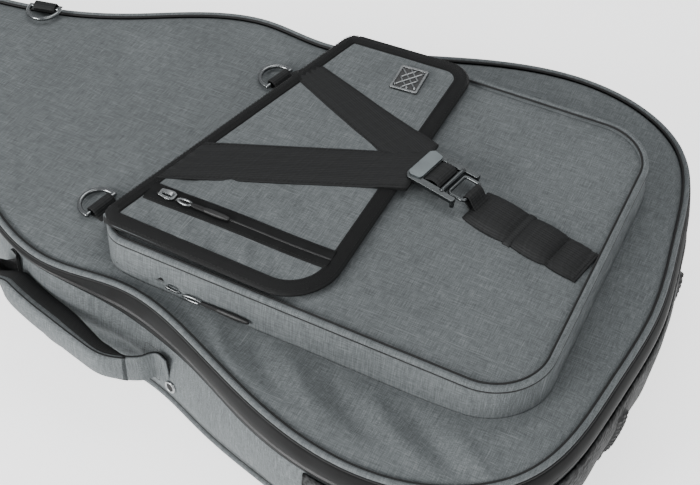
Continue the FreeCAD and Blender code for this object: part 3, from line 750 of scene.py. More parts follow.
def make_back():
    outside = puffed(-BACK_LOW, 1.0 * MM, 4.0 * MM, width=9 * MM, wrinkle=0.5 * MM, seed=4.0)
    back = bag_pad("padded_back", EDGE + OUT * (FOOT_FLARE - 1.5 * MM)[:, None], flat_at(BACK_TOP),
                   lambda flat, depth: -outside(flat, depth), rings=40)
    finish_pad(back, 0.8, "shell", "heather_fabric", "back_panel")
    floor_top = low("interior_lining")[2] + 1.6 * MM
    walls = [round_outline(-inset * MM, z) for inset, z in (
        (13.2, WALL_TOP - 13 * MM), (15.0, WALL_TOP - 13 * MM), (15.4, 50 * MM),
        (15.4, floor_top + 3 * MM), (17.0, floor_top), (13.6, BACK_TOP + 0.4 * MM))]
    lining = loft("plush_walls", walls, wrap_rows=True, wrap_cols=True)
    finish_pad(lining, 0.7, "shell", "plush_lining", "interior_lining")
    floor = bag_pad("plush_floor", EDGE - OUT * 13.5 * MM, puffed(floor_top, 0.0, 0.8 * MM, wrinkle=0.4 * MM),
                    flat_at(BACK_TOP + 0.1 * MM), rings=24, rim=2)
    finish_pad(floor, 0.6, "shell", "plush_lining")


def make_boot():
    """Pebbled vinyl round the bottom end, over the wall, with a pale stitched line above it."""
    inside = [i for i in range(AROUND) if EDGE[i, 0] >= low("bottom_boot")[0]]
    order = [i for i in inside if i > AROUND / 2] + [i for i in inside if i < AROUND / 2]
    foot = BACK_TOP - 5 * MM
    grid = [[wall_face(i, foot + (SEAM_Z[i] - foot) * share, 1.5 * MM) for i in order]
            for share in np.linspace(0.02, 0.985, 16)]
    boot = thicken(loft("vinyl_boot", grid), 1.8 * MM, 0.4)
    finish_piece(boot, "shell", "boot_vinyl", "bottom_boot")
    top = [(*(EDGE[i] + OUT[i] * 2.6 * MM), SEAM_Z[i] + 0.3 * MM) for i in order]
    tube("boot_stitch_line", top, 0.75 * MM, 6, "shell", "boot_vinyl", material="pale_thread")
    for side, i in (("near", order[0]), ("far", order[-1])):
        line = [wall_face(i, z, 2.0 * MM) for z in np.linspace(BACK_TOP - 4 * MM, SEAM_Z[i] - 1 * MM, 14)]
        tube("boot_side_seam_" + side, line, 1.1 * MM, 6, "shell", "boot_vinyl", up=(0.3, 0.3, 1))


def make_feet():
    """Two ribbed rubber bars standing up the bottom end."""
    lo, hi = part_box("bottom_feet")
    half, ribs = 6.5 * MM, 12
    heights = np.linspace(lo[2] + 3 * MM, hi[2] + 6 * MM, 73)
    for side, y in (("near", -72 * MM), ("far", 72 * MM)):
        station = min((i for i in range(AROUND) if EDGE[i, 0] > 0.4), key=lambda i: abs(EDGE[i, 1] - y))
        out = np.array([*OUT[station], 0])
        across = np.array([-out[1], out[0], 0])
        grid = []
        for z in heights:
            share = (z - heights[0]) / (heights[-1] - heights[0])
            rib = 0.55 * MM * (1 if math.sin(share * 2 * math.pi * ribs) > 0 else -1)
            proud = (4.6 * MM + rib) * min(1, math.sin(math.pi * share) * 6) ** 0.5 + 0.4 * MM
            right = [(1.2 * MM, proud - 1.1 * MM), (2 * MM, proud), (half - 1.4 * MM, proud),
                     (half, proud - 1.4 * MM), (half, -3 * MM)]
            section = [(-w, d) for w, d in right[::-1]] + right
            grid.append([np.array(wall_face(station, z)) + across * w + out * d for w, d in section])
        bar = loft("rubber_foot_" + side, grid, wrap_cols=True, sharp=40)
        finish_piece(bar, "shell", "tread_rubber", "bottom_feet")


def make_hinge_gusset():
    """The cloth strip that stays on the far side when the zip is open."""
    first, last = low("hinge_gusset")[0], high("hinge_gusset")[0]
    stations = [i for i in range(AROUND) if first <= EDGE[i, 0] <= last and EDGE[i, 1] > 0]
    rows = ((62, 4.2), (72, 4.0), (82, 4.4), (88, 5.8), (92, 6.8), (96, 6.6), (101, 5.8), (105.5, 4.2))
    grid = [[(*(EDGE[i] + OUT[i] * (out * MM + wall_bulge(i, min(z * MM, SEAM_Z[i])) * (z < 84))), z * MM)
             for i in stations] for z, out in rows]
    strip = thicken(loft("hinge_cloth", grid), 1.0 * MM, 0)
    settle(strip)
    strip.data.materials.append(MATERIALS["black_webbing"])
    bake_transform(strip)
    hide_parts("hinge_gusset")


# ---------------------------------------------------------------- front pocket

# corners in millimetres along and across the bag, each with its radius
POCKET, POCKET_OUT = mm_polygon((153, -111, 8), (183, -147, 20), (522, -147, 46), (522, 147, 46),
                                (217, 147, 12))
FLAP, FLAP_OUT = mm_polygon((149.5, -120, 8), (176, -142, 20), (356, -144, 42), (356, 155, 24),
                            (216.5, 149, 14))
RIM, RIM_OUT = mm_polygon((161.5, -140.5, 14), (356, -144, 42), (356, 155, 24), (234.5, 150.5, 14))
POCKET_CENTRE, FLAP_CENTRE = (0.36, 0.0), (0.268, 0.004)
FLAP_UNDER, HINGE_LEVEL = FLAP_TOP - 3 * MM, 113.4 * MM


def from_hinge(x, y):
    """Distance of a point in front of the flap's hinge line."""
    return (np.asarray(x) - FLAP_HINGE_X) * math.cos(FLAP_SLANT) - np.asarray(y) * math.sin(FLAP_SLANT)


def flap_under(x, y):
    """Height of the flap's underside: up over the pocket's edge in an S, then level."""
    return HINGE_LEVEL + (FLAP_UNDER - HINGE_LEVEL) * smoothstep(from_hinge(x, y), 2 * MM, 25 * MM)


def pocket_top(x, y, level):
    """A height on the pocket, kept below the flap where that slopes down."""
    return np.minimum(level, flap_under(x, y) - 2.2 * MM)


def make_pocket():
    """Gusset splayed onto the lid, soft face, and piping between two thin near-black strips of painted seam
    shade.
    """
    lid_level_here = lid_height(POCKET, np.full(len(POCKET), 30 * MM)) - 0.8 * MM
    top = pocket_top(*POCKET.T, POCKET_TOP - 0.5 * MM)
    tall = np.clip((top - lid_level_here) / (POCKET_TOP - lid_level_here), 0.02, 1)
    grid = []
    for share in np.linspace(0, 1, 12):
        belly = 2.2 * MM * math.sin(math.pi * share) * tall
        slump = np.array([wander(a, b, share * 20 * MM, 30 * MM, 6.0) for a, b in POCKET]) * 1.2 * MM * tall
        offset = 5.0 * MM * (1 - share) ** 2.0 * tall + belly + slump * math.sin(math.pi * share)
        grid.append(np.column_stack([POCKET + POCKET_OUT * offset[:, None],
                                     lid_level_here * (1 - share) + top * share]))
    inner = [np.column_stack([POCKET - POCKET_OUT * 3.6 * MM, row[:, 2]]) for row in grid[::-4]]
    gusset = loft("pocket_side", grid + inner, wrap_rows=True, wrap_cols=True)
    finish_pad(gusset, 0.5, "lid", "heather_fabric", "pocket_gusset")
    edge = POCKET - POCKET_OUT * 1.2 * MM
    crown = puffed(POCKET_TOP, 0.6 * MM, 1.6 * MM, width=8 * MM, wrinkle=0.9 * MM, size=60 * MM, seed=7.0)
    face = pad("pocket_front", edge, fan(edge, POCKET_CENTRE),
               lambda flat, depth: pocket_top(*flat.T, crown(flat, depth)),
               lambda flat, depth: pocket_top(*flat.T, POCKET_TOP - 4 * MM) - 0.4 * MM, rings=34)
    finish_pad(face, 0.5, "lid", "heather_fabric", "pocket_face")
    welt = middle("pocket_piping")[2]
    # the two thin near-black tubes either side of the piping are painted shade in the seam grooves
    for name, offset, rise, radius, material, *nodes in (
            ("pocket_piping_cord", 0.0, -0.6 * MM, 2.7 * MM, "heather_fabric", "pocket_piping"),
            ("pocket_seam_outside", 1.9 * MM, -3.0 * MM, 0.9 * MM, "seam_thread"),
            ("pocket_seam_inside", -2.8 * MM, 0.4 * MM, 0.85 * MM, "seam_thread")):
        line = POCKET + POCKET_OUT * offset
        z = np.minimum(welt + rise, flap_under(*line.T) - radius - 1.0 * MM)
        tube(name, np.column_stack([line, z]), radius, 10, "lid", "heather_fabric", *nodes,
             material=material, closed=True)


def make_pocket_zip():
    """The zip along the near gusset's foot: puffed coated tape with its coil, and the tape's two seams."""
    first, last = low("pocket_zip_tape")[0], high("pocket_zip_tape")[0]
    y = low("pocket_zip_tape")[1] - 0.4 * MM
    z = middle("pocket_zip_tape")[2]
    path = [(x, y - 0.6 * MM * math.sin(40 * x), z) for x in np.linspace(first, last, 60)]
    section = in_mm([(-0.9, -5.2), (1.4, -5.0), (1.9, -1.2), (1.6, 0.0), (1.9, 1.2), (1.4, 5.0), (-0.9, 5.2)])
    slider_x = middle("pocket_slider")[0]
    bare = [0.3 + 0.7 * math.exp(-((x - slider_x) / (32 * MM)) ** 4) for x, _, _ in path]
    tape = sweep("pocket_zip_band", path, section, scale=bare, sharp=50)
    finish_piece(tape, "lid", "zip_tape", "pocket_zip_tape")
    tube("pocket_zip_coil", [(a, b - 1.2 * MM, c) for a, b, c in path], 0.9 * MM, 8, "lid", "zip_coil",
         scale=bare)


# ---------------------------------------------------------------- flap

def flap_top(x, y):
    return flap_under(x, y) + (FLAP_TOP - FLAP_UNDER)


def flap_wrinkles(x, y):
    """Short soft folds that run into the flap's zip from both sides."""
    return sum(crease(x, y, (0.200 + 0.027 * k, side), (0.212 + 0.027 * k, side + reach), 5.5 * MM,
                      (1.5 if k % 2 else -1.3) * MM)
               for k in range(5) for side, reach in ((-0.109, -0.022), (-0.084, 0.034)))


def make_flap():
    uneven = puffed(0.0, 1.0 * MM, 0.0, width=16 * MM, wrinkle=0.7 * MM, size=70 * MM, seed=11.0)
    edge = FLAP - FLAP_OUT * 1.0 * MM
    panel = pad("flap_cloth", edge, fan(edge, FLAP_CENTRE),
                lambda flat, depth: (flap_top(*flat.T) + uneven(flat, depth) - 0.4 * MM
                                     + flap_wrinkles(*flat.T)),
                lambda flat, depth: flap_under(*flat.T), rings=60, rim=2, ease=1.1)
    finish_pad(panel, 0.4, "flap", "heather_fabric", "flap_panel")
    profile = [(-13.0, 2.7), (-12.7, 3.6), (-11, 4.0), (-7, 4.3), (-3, 4.0), (-0.9, 3.3), (0.4, 2.1),
               (0.6, 1.2), (0.0, -0.2), (-2, -0.5), (-7, -0.5), (-12, -0.2)]
    hinge_side = smoothstep(-from_hinge(*RIM.T), -32 * MM, -26 * MM)
    grid = []
    for offset, height in profile:
        sunk = hinge_side * (max(offset, -2) + 2) * 1.2 * MM
        grid.append(np.column_stack([RIM + RIM_OUT * offset * MM, FLAP_UNDER + height * MM - sunk]))
    binding = loft("flap_edge_binding", grid, wrap_rows=True, wrap_cols=True)
    finish_piece(binding, "flap", "black_binding", "flap_binding")
    for name, offset, rise in (("inner", -11.4, 1.05), ("outer", -2.0, 0.75)):
        line = np.column_stack([RIM + RIM_OUT * offset * MM, np.full(len(RIM), FLAP_TOP + rise * MM)])
        stitches("binding_stitches_" + name, np.vstack([line, line[:1]]), "flap", "black_binding")


def stitches(name, path, body, slot, pitch=3.4 * MM, radius=0.28 * MM):
    """A row of sewn stitches: short rounded threads with gaps between them."""
    path = np.asarray(path, float)
    travel = np.concatenate([[0], np.cumsum(np.linalg.norm(np.diff(path, axis=0), axis=1))])
    count = max(int(travel[-1] / pitch), 2)
    sides = 5
    verts, faces = [], []
    for k in range(count):
        at = np.array([k + 0.12, k + 0.5, k + 0.88]) * travel[-1] / count
        line = np.stack([np.interp(at, travel, path[:, i]) for i in range(3)], -1)
        run = line[2] - line[0]
        run /= np.linalg.norm(run)
        side = np.cross(run, (0.0, 0.0, 1.0))
        side /= max(np.linalg.norm(side), 1e-9)
        over = np.cross(side, run)
        base = len(verts)
        for point, grow in zip(line, (0.5, 1.0, 0.5)):
            for a in np.linspace(0, 2 * math.pi, sides, endpoint=False):
                verts.append(point + (side * math.cos(a) + over * math.sin(a)) * radius * grow)
        for ring in (base, base + sides):
            for j in range(sides):
                a, b = ring + j, ring + (j + 1) % sides
                faces.append((a, b, b + sides, a + sides))
        faces.append(tuple(base + j for j in range(sides)))
        faces.append(tuple(base + 2 * sides + j for j in reversed(range(sides))))
    finish_piece(new_piece(name, verts, faces), body, slot, material="seam_thread")


def ribbed_strap(width, thick, ribs, crown):
    """Section of a puffed webbing with lengthwise ribs, its measures in millimetres."""
    half, depth = width / 2, 0.25
    across = np.linspace(-0.97, 0.97, ribs * 8 + 1)
    upper = [(u * half, thick / 2 + crown * (1 - u * u) + depth * (math.cos(u * math.pi * ribs) - 1) / 2)
             for u in across]
    lower = [(half * 0.96, -thick / 2), (0.0, -thick / 2), (-half * 0.96, -thick / 2)]
    return in_mm(upper + [(half, 0.0)] + lower + [(-half, 0.0)])


def webbing(name, line, measures, body, *nodes, slot="black_webbing", up=(0, 0, 1)):
    """A ribbed webbing along a line; measures are its width, thickness, ribs and crown."""
    strap = sweep(name, line, ribbed_strap(*measures), up=up, sharp=60)
    finish_piece(strap, body, slot, *nodes, material="black_webbing")


def slanted_strap(name, near_line, far_line, lift):
    """A ribbed strap between two edge lines on the flap, so that its ends may be cut at a slant."""
    ribs = 5
    across = np.linspace(0, 1, ribs * 8 + 1)
    near_line, far_line = np.array(near_line) * MM, np.array(far_line) * MM
    grid = []
    for t in np.linspace(0, 1, 46):
        a, b = (line[0] * (1 - t) + line[1] * t for line in (near_line, far_line))
        level = FLAP_TOP + lift + 1.5 * MM * smoothstep(a[0], 0.335, 0.346)
        puff = 1.9 * MM * min(1.0, 4 * t + 0.2)
        row = [(*(a * (1 - u) + b * u),
                level + puff * (1 - (2 * u - 1) ** 6) + 0.35 * MM * math.cos(u * math.pi * ribs) ** 2)
               for u in across]
        grid.append(row + [(*b, FLAP_TOP - 0.2 * MM), (*a, FLAP_TOP - 0.2 * MM)])
    strap = capped_loft(name, grid, sharp=60)
    return strap, [row[2] for row in grid], [row[len(across) - 3] for row in grid]


def make_flap_straps():
    """The V of soft straps: from the flap's upper binding to the buckle."""
    for side, near_line, far_line, lift in (
            ("far", [(213.5, 76.5), (365.5, 3.5)], [(231.5, 98.5), (365.5, 51.5)], 0.2 * MM),
            ("near", [(183, -83.5), (364, -5.5)], [(196, -31.5), (364, 40)], 1.1 * MM)):
        strap, edge_a, edge_b = slanted_strap("flap_strap_webbing_" + side, near_line, far_line, lift)
        finish_piece(strap, "flap", "black_webbing", "flap_strap_" + side)
        for name, line in (("a", edge_a), ("b", edge_b)):
            line = [(x, y, z + 0.15 * MM) for x, y, z in line]
            stitches(f"strap_stitches_{side}_{name}", line, "flap", "black_webbing")


def make_flap_zip():
    """The flap pocket's zip: a wide soft-edged coated tape with its coil, tucked under the binding."""
    lo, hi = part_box("flap_zip_tape")
    y = 0.5 * (lo[1] + hi[1])
    path = [(x, y + 0.4 * MM * math.sin(55 * x), FLAP_TOP + 0.4 * MM)
            for x in np.linspace(lo[0], hi[0] + 3 * MM, 70)]
    right = [(0.5, 0.5), (2.2, 1.1), (5.2, 1.5), (8.2, 1.0), (9.5, 0.2), (9.6, -1.0)]
    tape = sweep("flap_zip_band", path, in_mm([(-a, b) for a, b in right[::-1]] + right), sharp=60)
    finish_piece(tape, "flap", "zip_tape", "flap_zip_tape")
    tube("flap_zip_coil", [(a, b, c + 0.5 * MM) for a, b, c in path[3:]], 1.0 * MM, 8, "flap", "zip_coil",
         flat=0.6)
    for name, offset in (("near", -7.6 * MM), ("far", 7.6 * MM)):
        line = [(a, b + offset, c + 1.2 * MM) for a, b, c in path[2:]]
        stitches("flap_zip_stitches_" + name, line, "flap", "zip_tape", 3.0 * MM, 0.22 * MM)


def plate(name, outer, holes, low_z, high_z, edge, segments=2):
    """A flat part cut to an outline with holes, its edges rounded."""
    bm = bmesh.new()
    for loop in [outer, *holes]:
        verts = [bm.verts.new((p[0], p[1], high_z)) for p in loop]
        for i, vert in enumerate(verts):
            bm.edges.new((vert, verts[(i + 1) % len(verts)]))
    bmesh.ops.triangle_fill(bm, edges=bm.edges[:], use_beauty=True)
    bmesh.ops.recalc_face_normals(bm, faces=bm.faces)
    if bm.faces[0].normal.z < 0:
        bmesh.ops.reverse_faces(bm, faces=bm.faces[:])
    bmesh.ops.dissolve_limit(bm, angle_limit=0.01, verts=bm.verts[:], edges=bm.edges[:])
    mesh = bpy.data.meshes.new(name)
    bm.to_mesh(mesh)
    bm.free()
    piece = bpy.data.objects.new(name, mesh)
    bpy.context.scene.collection.objects.link(piece)
    return settle(bevel(thicken(piece, high_z - low_z), edge, segments))


def local_place(origin, turn):
    """A function that carries points of a small local frame into the bag's frame."""
    c, s = math.cos(turn), math.sin(turn)

    def carry(point):
        x, y, z = point
        return (origin[0] + c * x - s * y, origin[1] + s * x + c * y, z)
    return carry


def carried(piece, carry):
    for vert in piece.data.vertices:
        vert.co = carry(vert.co)
    return piece


def round_corners(corners, radius, count=8):
    """Outline points with every corner rounded by the same radius."""
    corners = [np.array(c, float) for c in corners]
    points = []
    for i, corner in enumerate(corners):
        a = corners[i - 1] - corner
        b = corners[(i + 1) % len(corners)] - corner
        a, b = a / np.linalg.norm(a) * radius, b / np.linalg.norm(b) * radius
        for t in np.linspace(0, 1, count):
            points.append(corner + a * (1 - t) ** 2 + b * t ** 2)
    return points


def make_badge():
    """A square metal badge with a raised rim round a plain woven-looking lattice."""
    carry = local_place(middle("badge_plate"), math.radians(4))
    base, rim_top = FLAP_TOP - 0.2 * MM, high("badge_plate")[2] + 1.2 * MM
    square = in_mm([(-12.5, -15.5), (12.5, -15.5), (12.5, 15.5), (-12.5, 15.5)])
    inside = [(p[0] * 0.82, p[1] * 0.85) for p in square]
    floor = plate("badge_floor", round_corners(square, 2 * MM), [], base, rim_top - 0.9 * MM, 0.2 * MM)
    rim = plate("badge_rim", round_corners(square, 2.2 * MM), [round_corners(inside, 1.4 * MM)],
                base, rim_top, 0.45 * MM)
    for piece, nodes, material in ((floor, ("badge_plate",), "badge_field"), (rim, (), "nickel")):
        finish_piece(carried(piece, carry), "flap", "nickel", *nodes, material=material)
    for k in range(3):
        shift = (k - 1) * 8.4 * MM
        for sign in (1, -1):
            reach = min(9.5 * MM, 17 * MM - abs(shift))
            line = [(shift / 2 + t, sign * (t * 1.15 - shift / 2), rim_top - 0.7 * MM)
                    for t in np.linspace(-reach, reach, 12)
                    if abs(shift / 2 + t) < 9.6 * MM and abs(t * 1.15 - shift / 2) < 12.4 * MM]
            tube(f"badge_lattice_{k}_{'a' if sign > 0 else 'b'}", [carry(p) for p in line], 0.95 * MM, 8,
                 "flap", "nickel")


# ---------------------------------------------------------------- buckle and front strap

BUCKLE_PLACE = local_place((0.361, 0.022, 0), -STRAP_SLANT)


def by_buckle(x, y, z):
    """A point from millimetres along and across the buckle, at a height in metres."""
    return BUCKLE_PLACE((x * MM, y * MM, z))


def make_buckle():
    """Slotted metal frame with a broad bevelled side, its cross bar and its two claws."""
    low_z, high_z = low("buckle_frame")[2], high("buckle_frame")[2]
    outer = [(3, -19), (47, -19), (47, -14.2), (35.2, -14), (35.2, 14), (47, 14.2), (47, 19),
             (3, 19), (0, 15), (0, -15)]
    slot = [(14, -13), (32, -13), (32, 13), (14, 13)]
    ridge = [(1.2, -14), (4.4, -16.6), (12.6, -15.2), (13.4, -13),
             (13.4, 13), (12.6, 15.2), (4.4, 16.6), (1.2, 14)]
    body = plate("buckle_body", in_mm(round_corners(outer, 1.3)), [in_mm(round_corners(slot, 1.0))],
                 low_z, high_z - 0.6 * MM, 0.7 * MM, 3)
    finish_piece(carried(body, BUCKLE_PLACE), "buckle", "gunmetal", "buckle_frame")
    raised = plate("buckle_broad_side", in_mm(round_corners(ridge, 1.2)), [],
                   high_z - 1.4 * MM, high_z + 0.9 * MM, 1.4 * MM, 3)
    finish_piece(carried(raised, BUCKLE_PLACE), "buckle", "gunmetal", material="satin_gunmetal")
    tube("buckle_cross_bar", [by_buckle(33.4, y, high_z - 1.0 * MM) for y in np.linspace(-15, 15, 12)],
         1.9 * MM, 12, "buckle", "gunmetal")
    claw_low, claw_high = low("buckle_claws")[2], high("buckle_claws")[2]
    for side, y in (("near", -16.5), ("far", 16.5)):
        points = [by_buckle(x, y, z) for x, z in (
            (44.6, claw_high + 1.6 * MM), (45.2, claw_low + 2.2 * MM), (45.0, claw_low + 0.4 * MM))]
        tube("buckle_claw_" + side, points, 1.9 * MM, 10, "buckle", "gunmetal", "buckle_claws", up=(1, 0, 0))


def make_buckle_webbing():
    """Webbing from under the V straps, through the slot and back."""
    z = middle("buckle_webbing")[2] + 0.6 * MM
    path = [(-20, 0), (-10, 0), (2, 0.4), (9, 0.5), (14, 2.4), (19, 4.9), (23, 5.6), (27, 4.4), (29.5, 2.2),
            (29, 0), (25, -0.6), (14, -0.7)]
    line = smooth_path([by_buckle(x, 0, z + rise * MM) for x, rise in path], 60)
    webbing("buckle_strap_end", line, (24, 1.3, 5, 0.2), "flap", "buckle_webbing")


def smooth_path(points, count):
    """A smooth open curve through points."""
    points = np.asarray(points, float)
    dense = []
    for i in range(len(points) - 1):
        p0, p1, p2, p3 = (points[min(max(i + k, 0), len(points) - 1)] for k in (-1, 0, 1, 2))
        for t in np.linspace(0, 1, 12, endpoint=False):
            dense.append(0.5 * (2 * p1 + (p2 - p0) * t + (2 * p0 - 5 * p1 + 4 * p2 - p3) * t * t
                                + (3 * p1 - p0 - 3 * p2 + p3) * t ** 3))
    dense = np.array(dense + [points[-1]])
    travel = np.concatenate([[0], np.cumsum(np.linalg.norm(np.diff(dense, axis=0), axis=1))])
    wanted = np.linspace(0, travel[-1], count)
    return np.stack([np.interp(wanted, travel, dense[:, k]) for k in range(3)], -1)


def make_lower_strap():
    """The pocket's own strap: loop round the ring, two puffed lengths either side of a keeper, then flat."""
    face = POCKET_TOP + 0.4 * MM
    across = np.linspace(-1, 1, 41)
    grid = []
    for x in np.linspace(56, 158, 90):
        puff = 0.0
        for start, stop, high_puff in ((56, 97, 6.2), (99, 131, 5.6), (132, 152, 2.2)):
            if start < x < stop:
                puff = high_puff * math.sin(math.pi * (x - start) / (stop - start)) ** 0.55
        half, lean = 17.0 + 0.42 * puff, 0.125 * math.sin(x * 0.9)
        top = [by_buckle(x, u * half, face + (1.4 + puff * (1 - u ** 4) + 0.12 * math.cos(u * math.pi * 8)
                                              + lean * u) * MM) for u in across]
        grid.append(top + [by_buckle(x, u * half, face - 0.3 * MM) for u in across[::-1]])
    finish_piece(capped_loft("front_strap", grid, sharp=55), "lid", "black_webbing", "lower_strap")
    ring_z = high("lower_strap")[2] - 2.0 * MM
    loop = smooth_path([by_buckle(x, 0, level + rise * MM) for x, level, rise in (
        (66, face, 2.5), (60, face, 7.0), (56.4, ring_z, 0.2), (54.2, ring_z, 2.2), (51.6, ring_z, 2.1),
        (50.0, ring_z, 0), (50.6, ring_z, -2.8), (54, face, 5.5), (58, face, 1.6), (64, face, 0.6))], 50)
    webbing("ring_loop_webbing", loop, (17, 1.3, 4, 0.1), "lid")
    keeper_lo, keeper_hi = 94.5, 101.5
    right = [(0, 4.2), (8, 4.0), (15, 3.4), (18.6, 2.4), (19.6, 1.0), (19.4, -0.3)]
    section = [(-u, up) for u, up in right[:0:-1]] + right
    grid = []
    for x in np.linspace(keeper_lo, keeper_hi, 9):
        rounding = 1.1 * (1 - math.sin(math.pi * (x - keeper_lo) / (keeper_hi - keeper_lo)) ** 0.5)
        outer = [by_buckle(x, u, face + (up - rounding) * MM) for u, up in section]
        inner = [by_buckle(x, u * 0.93, face + (up - 1.6 + rounding * 0.4) * MM) for u, up in section[::-1]]
        grid.append(outer + inner)
    finish_piece(capped_loft("strap_keeper_wrap", grid, sharp=60), "lid", "black_webbing", "strap_keeper")
    for name, x in (("a", 131.2), ("b", 132.6), ("c", 150.5), ("d", 155.5)):
        line = [by_buckle(x, u, face + 1.75 * MM) for u in np.linspace(-18, 18, 40)]
        stitches("strap_bartack_" + name, line, "lid", "black_webbing", 1.8 * MM, 0.35 * MM)


# ---------------------------------------------------------------- rings, sliders and pulls

def dress(node, material):
    """Give a CAD node that stays in sight its material."""
    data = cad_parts[node].data
    data.materials.clear()
    data.materials.append(MATERIALS[material])


def make_rings():
    """Wire D-rings, each held by a webbing tab folded round its bar."""
    dress("catch_ring", "gunmetal")
    for name, x, y, level, turn in (
            ("pocket_near", 137.5, -104, 115, -12), ("pocket_far", 188.5, 99, 115, -14),
            ("neck_near", -61, -86, 117, -101.5), ("neck_far", -61, 86, 117, 101.5)):
        dress("d_ring_" + name, "ring_metal")
        level, turn = level * MM, math.radians(turn)
        carry = local_place((x * MM, y * MM), turn)
        root = lid_level(*carry((9 * MM, 0, 0))[:2]) - 0.4 * MM
        profile = smooth_path([(x * MM, 0, z + rise * MM) for x, z, rise in (
            (12, root, 0), (8, root, 1.6), (4, level, 2.6), (0.5, level, 3.6), (-2.8, level, 2.4),
            (-3.6, level, 0), (-2.4, level, -2.6), (1.0, level, -3.3), (12, root, -0.2))], 40)
        tab = sweep("ring_tab_" + name, [carry(p) for p in profile], strap_section(22 * MM, 1.1 * MM),
                    up=(math.cos(turn) * 0.02, math.sin(turn) * 0.02, 1.0), sharp=60)
        finish_piece(tab, "lid", "black_webbing", "d_ring_tabs")
        line = [carry((5.6 * MM, t, level + 1.9 * MM)) for t in np.linspace(-9 * MM, 9 * MM, 20)]
        stitches("ring_tab_stitches_" + name, line, "lid", "black_webbing", 2.4 * MM)


def make_slider(name):
    """Zip slider: a waisted body with a bridge over it, on its node's place."""
    lo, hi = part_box(name)
    centre = middle(name)
    long, deep, high_span = Vector(hi) - Vector(lo)
    upright = high_span > deep
    wide, tall = (high_span, deep) if upright else (deep, high_span)
    outline = [(-0.5, 0.36), (-0.3, 0.42), (0.0, 0.5), (0.3, 0.5), (0.5, 0.3)]
    points = [(a * long, b * wide) for a, b in outline + [(a, -b) for a, b in outline[::-1]]]
    body = plate(name + "_body", round_corners(points, 0.8 * MM, 5), [], 0.0, 0.45 * tall, 0.35 * MM)
    bridge_path = smooth_path([(a * long, 0, b * tall) for a, b in (
        (-0.36, 0.4), (-0.3, 0.85), (0.0, 0.98), (0.3, 0.85), (0.36, 0.4))], 24)
    bridge = sweep(name + "_bridge", bridge_path, strap_section(0.34 * wide, 0.9 * MM), sharp=60)

    def carry(point):
        x, y, z = point
        if upright:
            return (centre[0] + x, hi[1] - z, centre[2] + y)
        return (centre[0] + x, centre[1] + y, lo[2] + z)

    finish_piece(carried(body, carry), name, "nickel", name)
    finish_piece(carried(bridge, carry), name, "nickel")


def make_pull(name, start, stop, out_axis):
    """Wire bail, dark cord and a moulded grip, from the slider to the pull's end."""
    start, stop = Vector(start), Vector(stop)
    run = (stop - start).normalized()
    length = (stop - start).length
    side = run.cross(Vector(out_axis)).normalized()
    bail_end = 0.27 * length
    loop = []
    for a in np.linspace(0, 2 * math.pi, 40, endpoint=False):
        share = (1 - math.cos(a)) / 2
        width = 2.6 * MM * math.sin(a) * (0.75 + 0.25 * share)
        loop.append(start + run * (bail_end * share) + side * width)
    tube(name + "_bail", loop, 0.95 * MM, 8, name, "nickel", name, closed=True, up=out_axis)
    for sign in (1, -1):
        cord_line = []
        for t in np.linspace(bail_end - 1.5 * MM, 0.56 * length, 14):
            spread = 0.9 * MM * math.sin(math.pi / 2 * min(1, (t - bail_end) / (8 * MM) + 0.2))
            cord_line.append(start + run * t + side * sign * spread)
        tube(f"{name}_cord_{'a' if sign > 0 else 'b'}", cord_line, 1.15 * MM, 8, name, "cord_grip",
             material="cord_fabric", up=out_axis)
    grip_line = [start + run * t for t in np.linspace(0.5 * length, length, 24)]
    swell = 1.15 + 0.45 * np.sin(math.pi * np.minimum(1, np.linspace(0, 1.1, 24))) ** 0.6
    swell[[0, 1, -2, -1]] = 0.7, 1.1, 1.15, 0.6
    tube(name + "_grip", grip_line, 2.05 * MM, 12, name, "cord_grip", flat=0.8, scale=swell / 1.28,
         up=out_axis)


def make_zip_hardware():
    for name in ("flap_slider", "pocket_slider", "zip_slider_a", "zip_slider_b"):
        make_slider(name)
    for name, out_axis in (("flap_pull", (0, 0, 1)), ("pocket_pull", (0, -1, 0))):
        _, y, z = middle(name)
        make_pull(name, (low(name)[0] + 1 * MM, y, z), (high(name)[0], y, z), out_axis)
    for name in ("zip_pull_a", "zip_pull_b"):
        x, y, _ = middle(name)
        make_pull(name, (x, y, high(name)[2] - 0.5 * MM), (x, y, low(name)[2]), (0, -1, 0))


# ---------------------------------------------------------------- handle, eyelets and loop

HANDLE_UPPER, HANDLE_LOWER = (0.104, 0.082), (0.238, 0.054)


def handle_line():
    """Middle line of the handle from its upper tab to its lower one, where it lies flat on the wall."""
    upper, lower = wall_point(*HANDLE_UPPER, 1.5 * MM), wall_point(*HANDLE_LOWER, 1.5 * MM)
    reach = low("handle_grip")[1]
    line = [(90, 58, 82), (88, 38, 81), (102, 28, 77), (125, 22, 72), (150, 18, 67),
            (175, 14, 63), (196, 12, 59), (212, 16, 56), (226, 23, 55)]
    points = [upper] + [(x, reach + stand_off, z) for x, stand_off, z in in_mm(line)]
    return smooth_path(points + [lower, lower + Vector((0.012, -0.003, 0.0))], 70)


def handle_sections(path, body, roll, profile):
    """Carry a profile along the handle, rolled so that its inner side turns upward.

    The profile's points are their place across, their plumpness and their fixed part outward."""
    tangent = np.gradient(path, axis=0)
    tangent /= np.linalg.norm(tangent, axis=1)[:, None]
    rows = []
    for point, run, plump, turn in zip(path, tangent, body, roll):
        out = np.cross(run, (0, 0, 1.0))
        out /= np.linalg.norm(out)
        out *= -1 if out[1] > 0 else 1
        up = np.cross(out, run) * (1 if np.cross(out, run)[2] > 0 else -1)
        face = out * math.cos(turn) - up * math.sin(turn)
        across = up * math.cos(turn) + out * math.sin(turn)
        rows.append([point + across * a * (1.1 - 0.1 * plump) + face * (b * plump + c)
                     for a, b, c in profile])
    return np.array(rows)


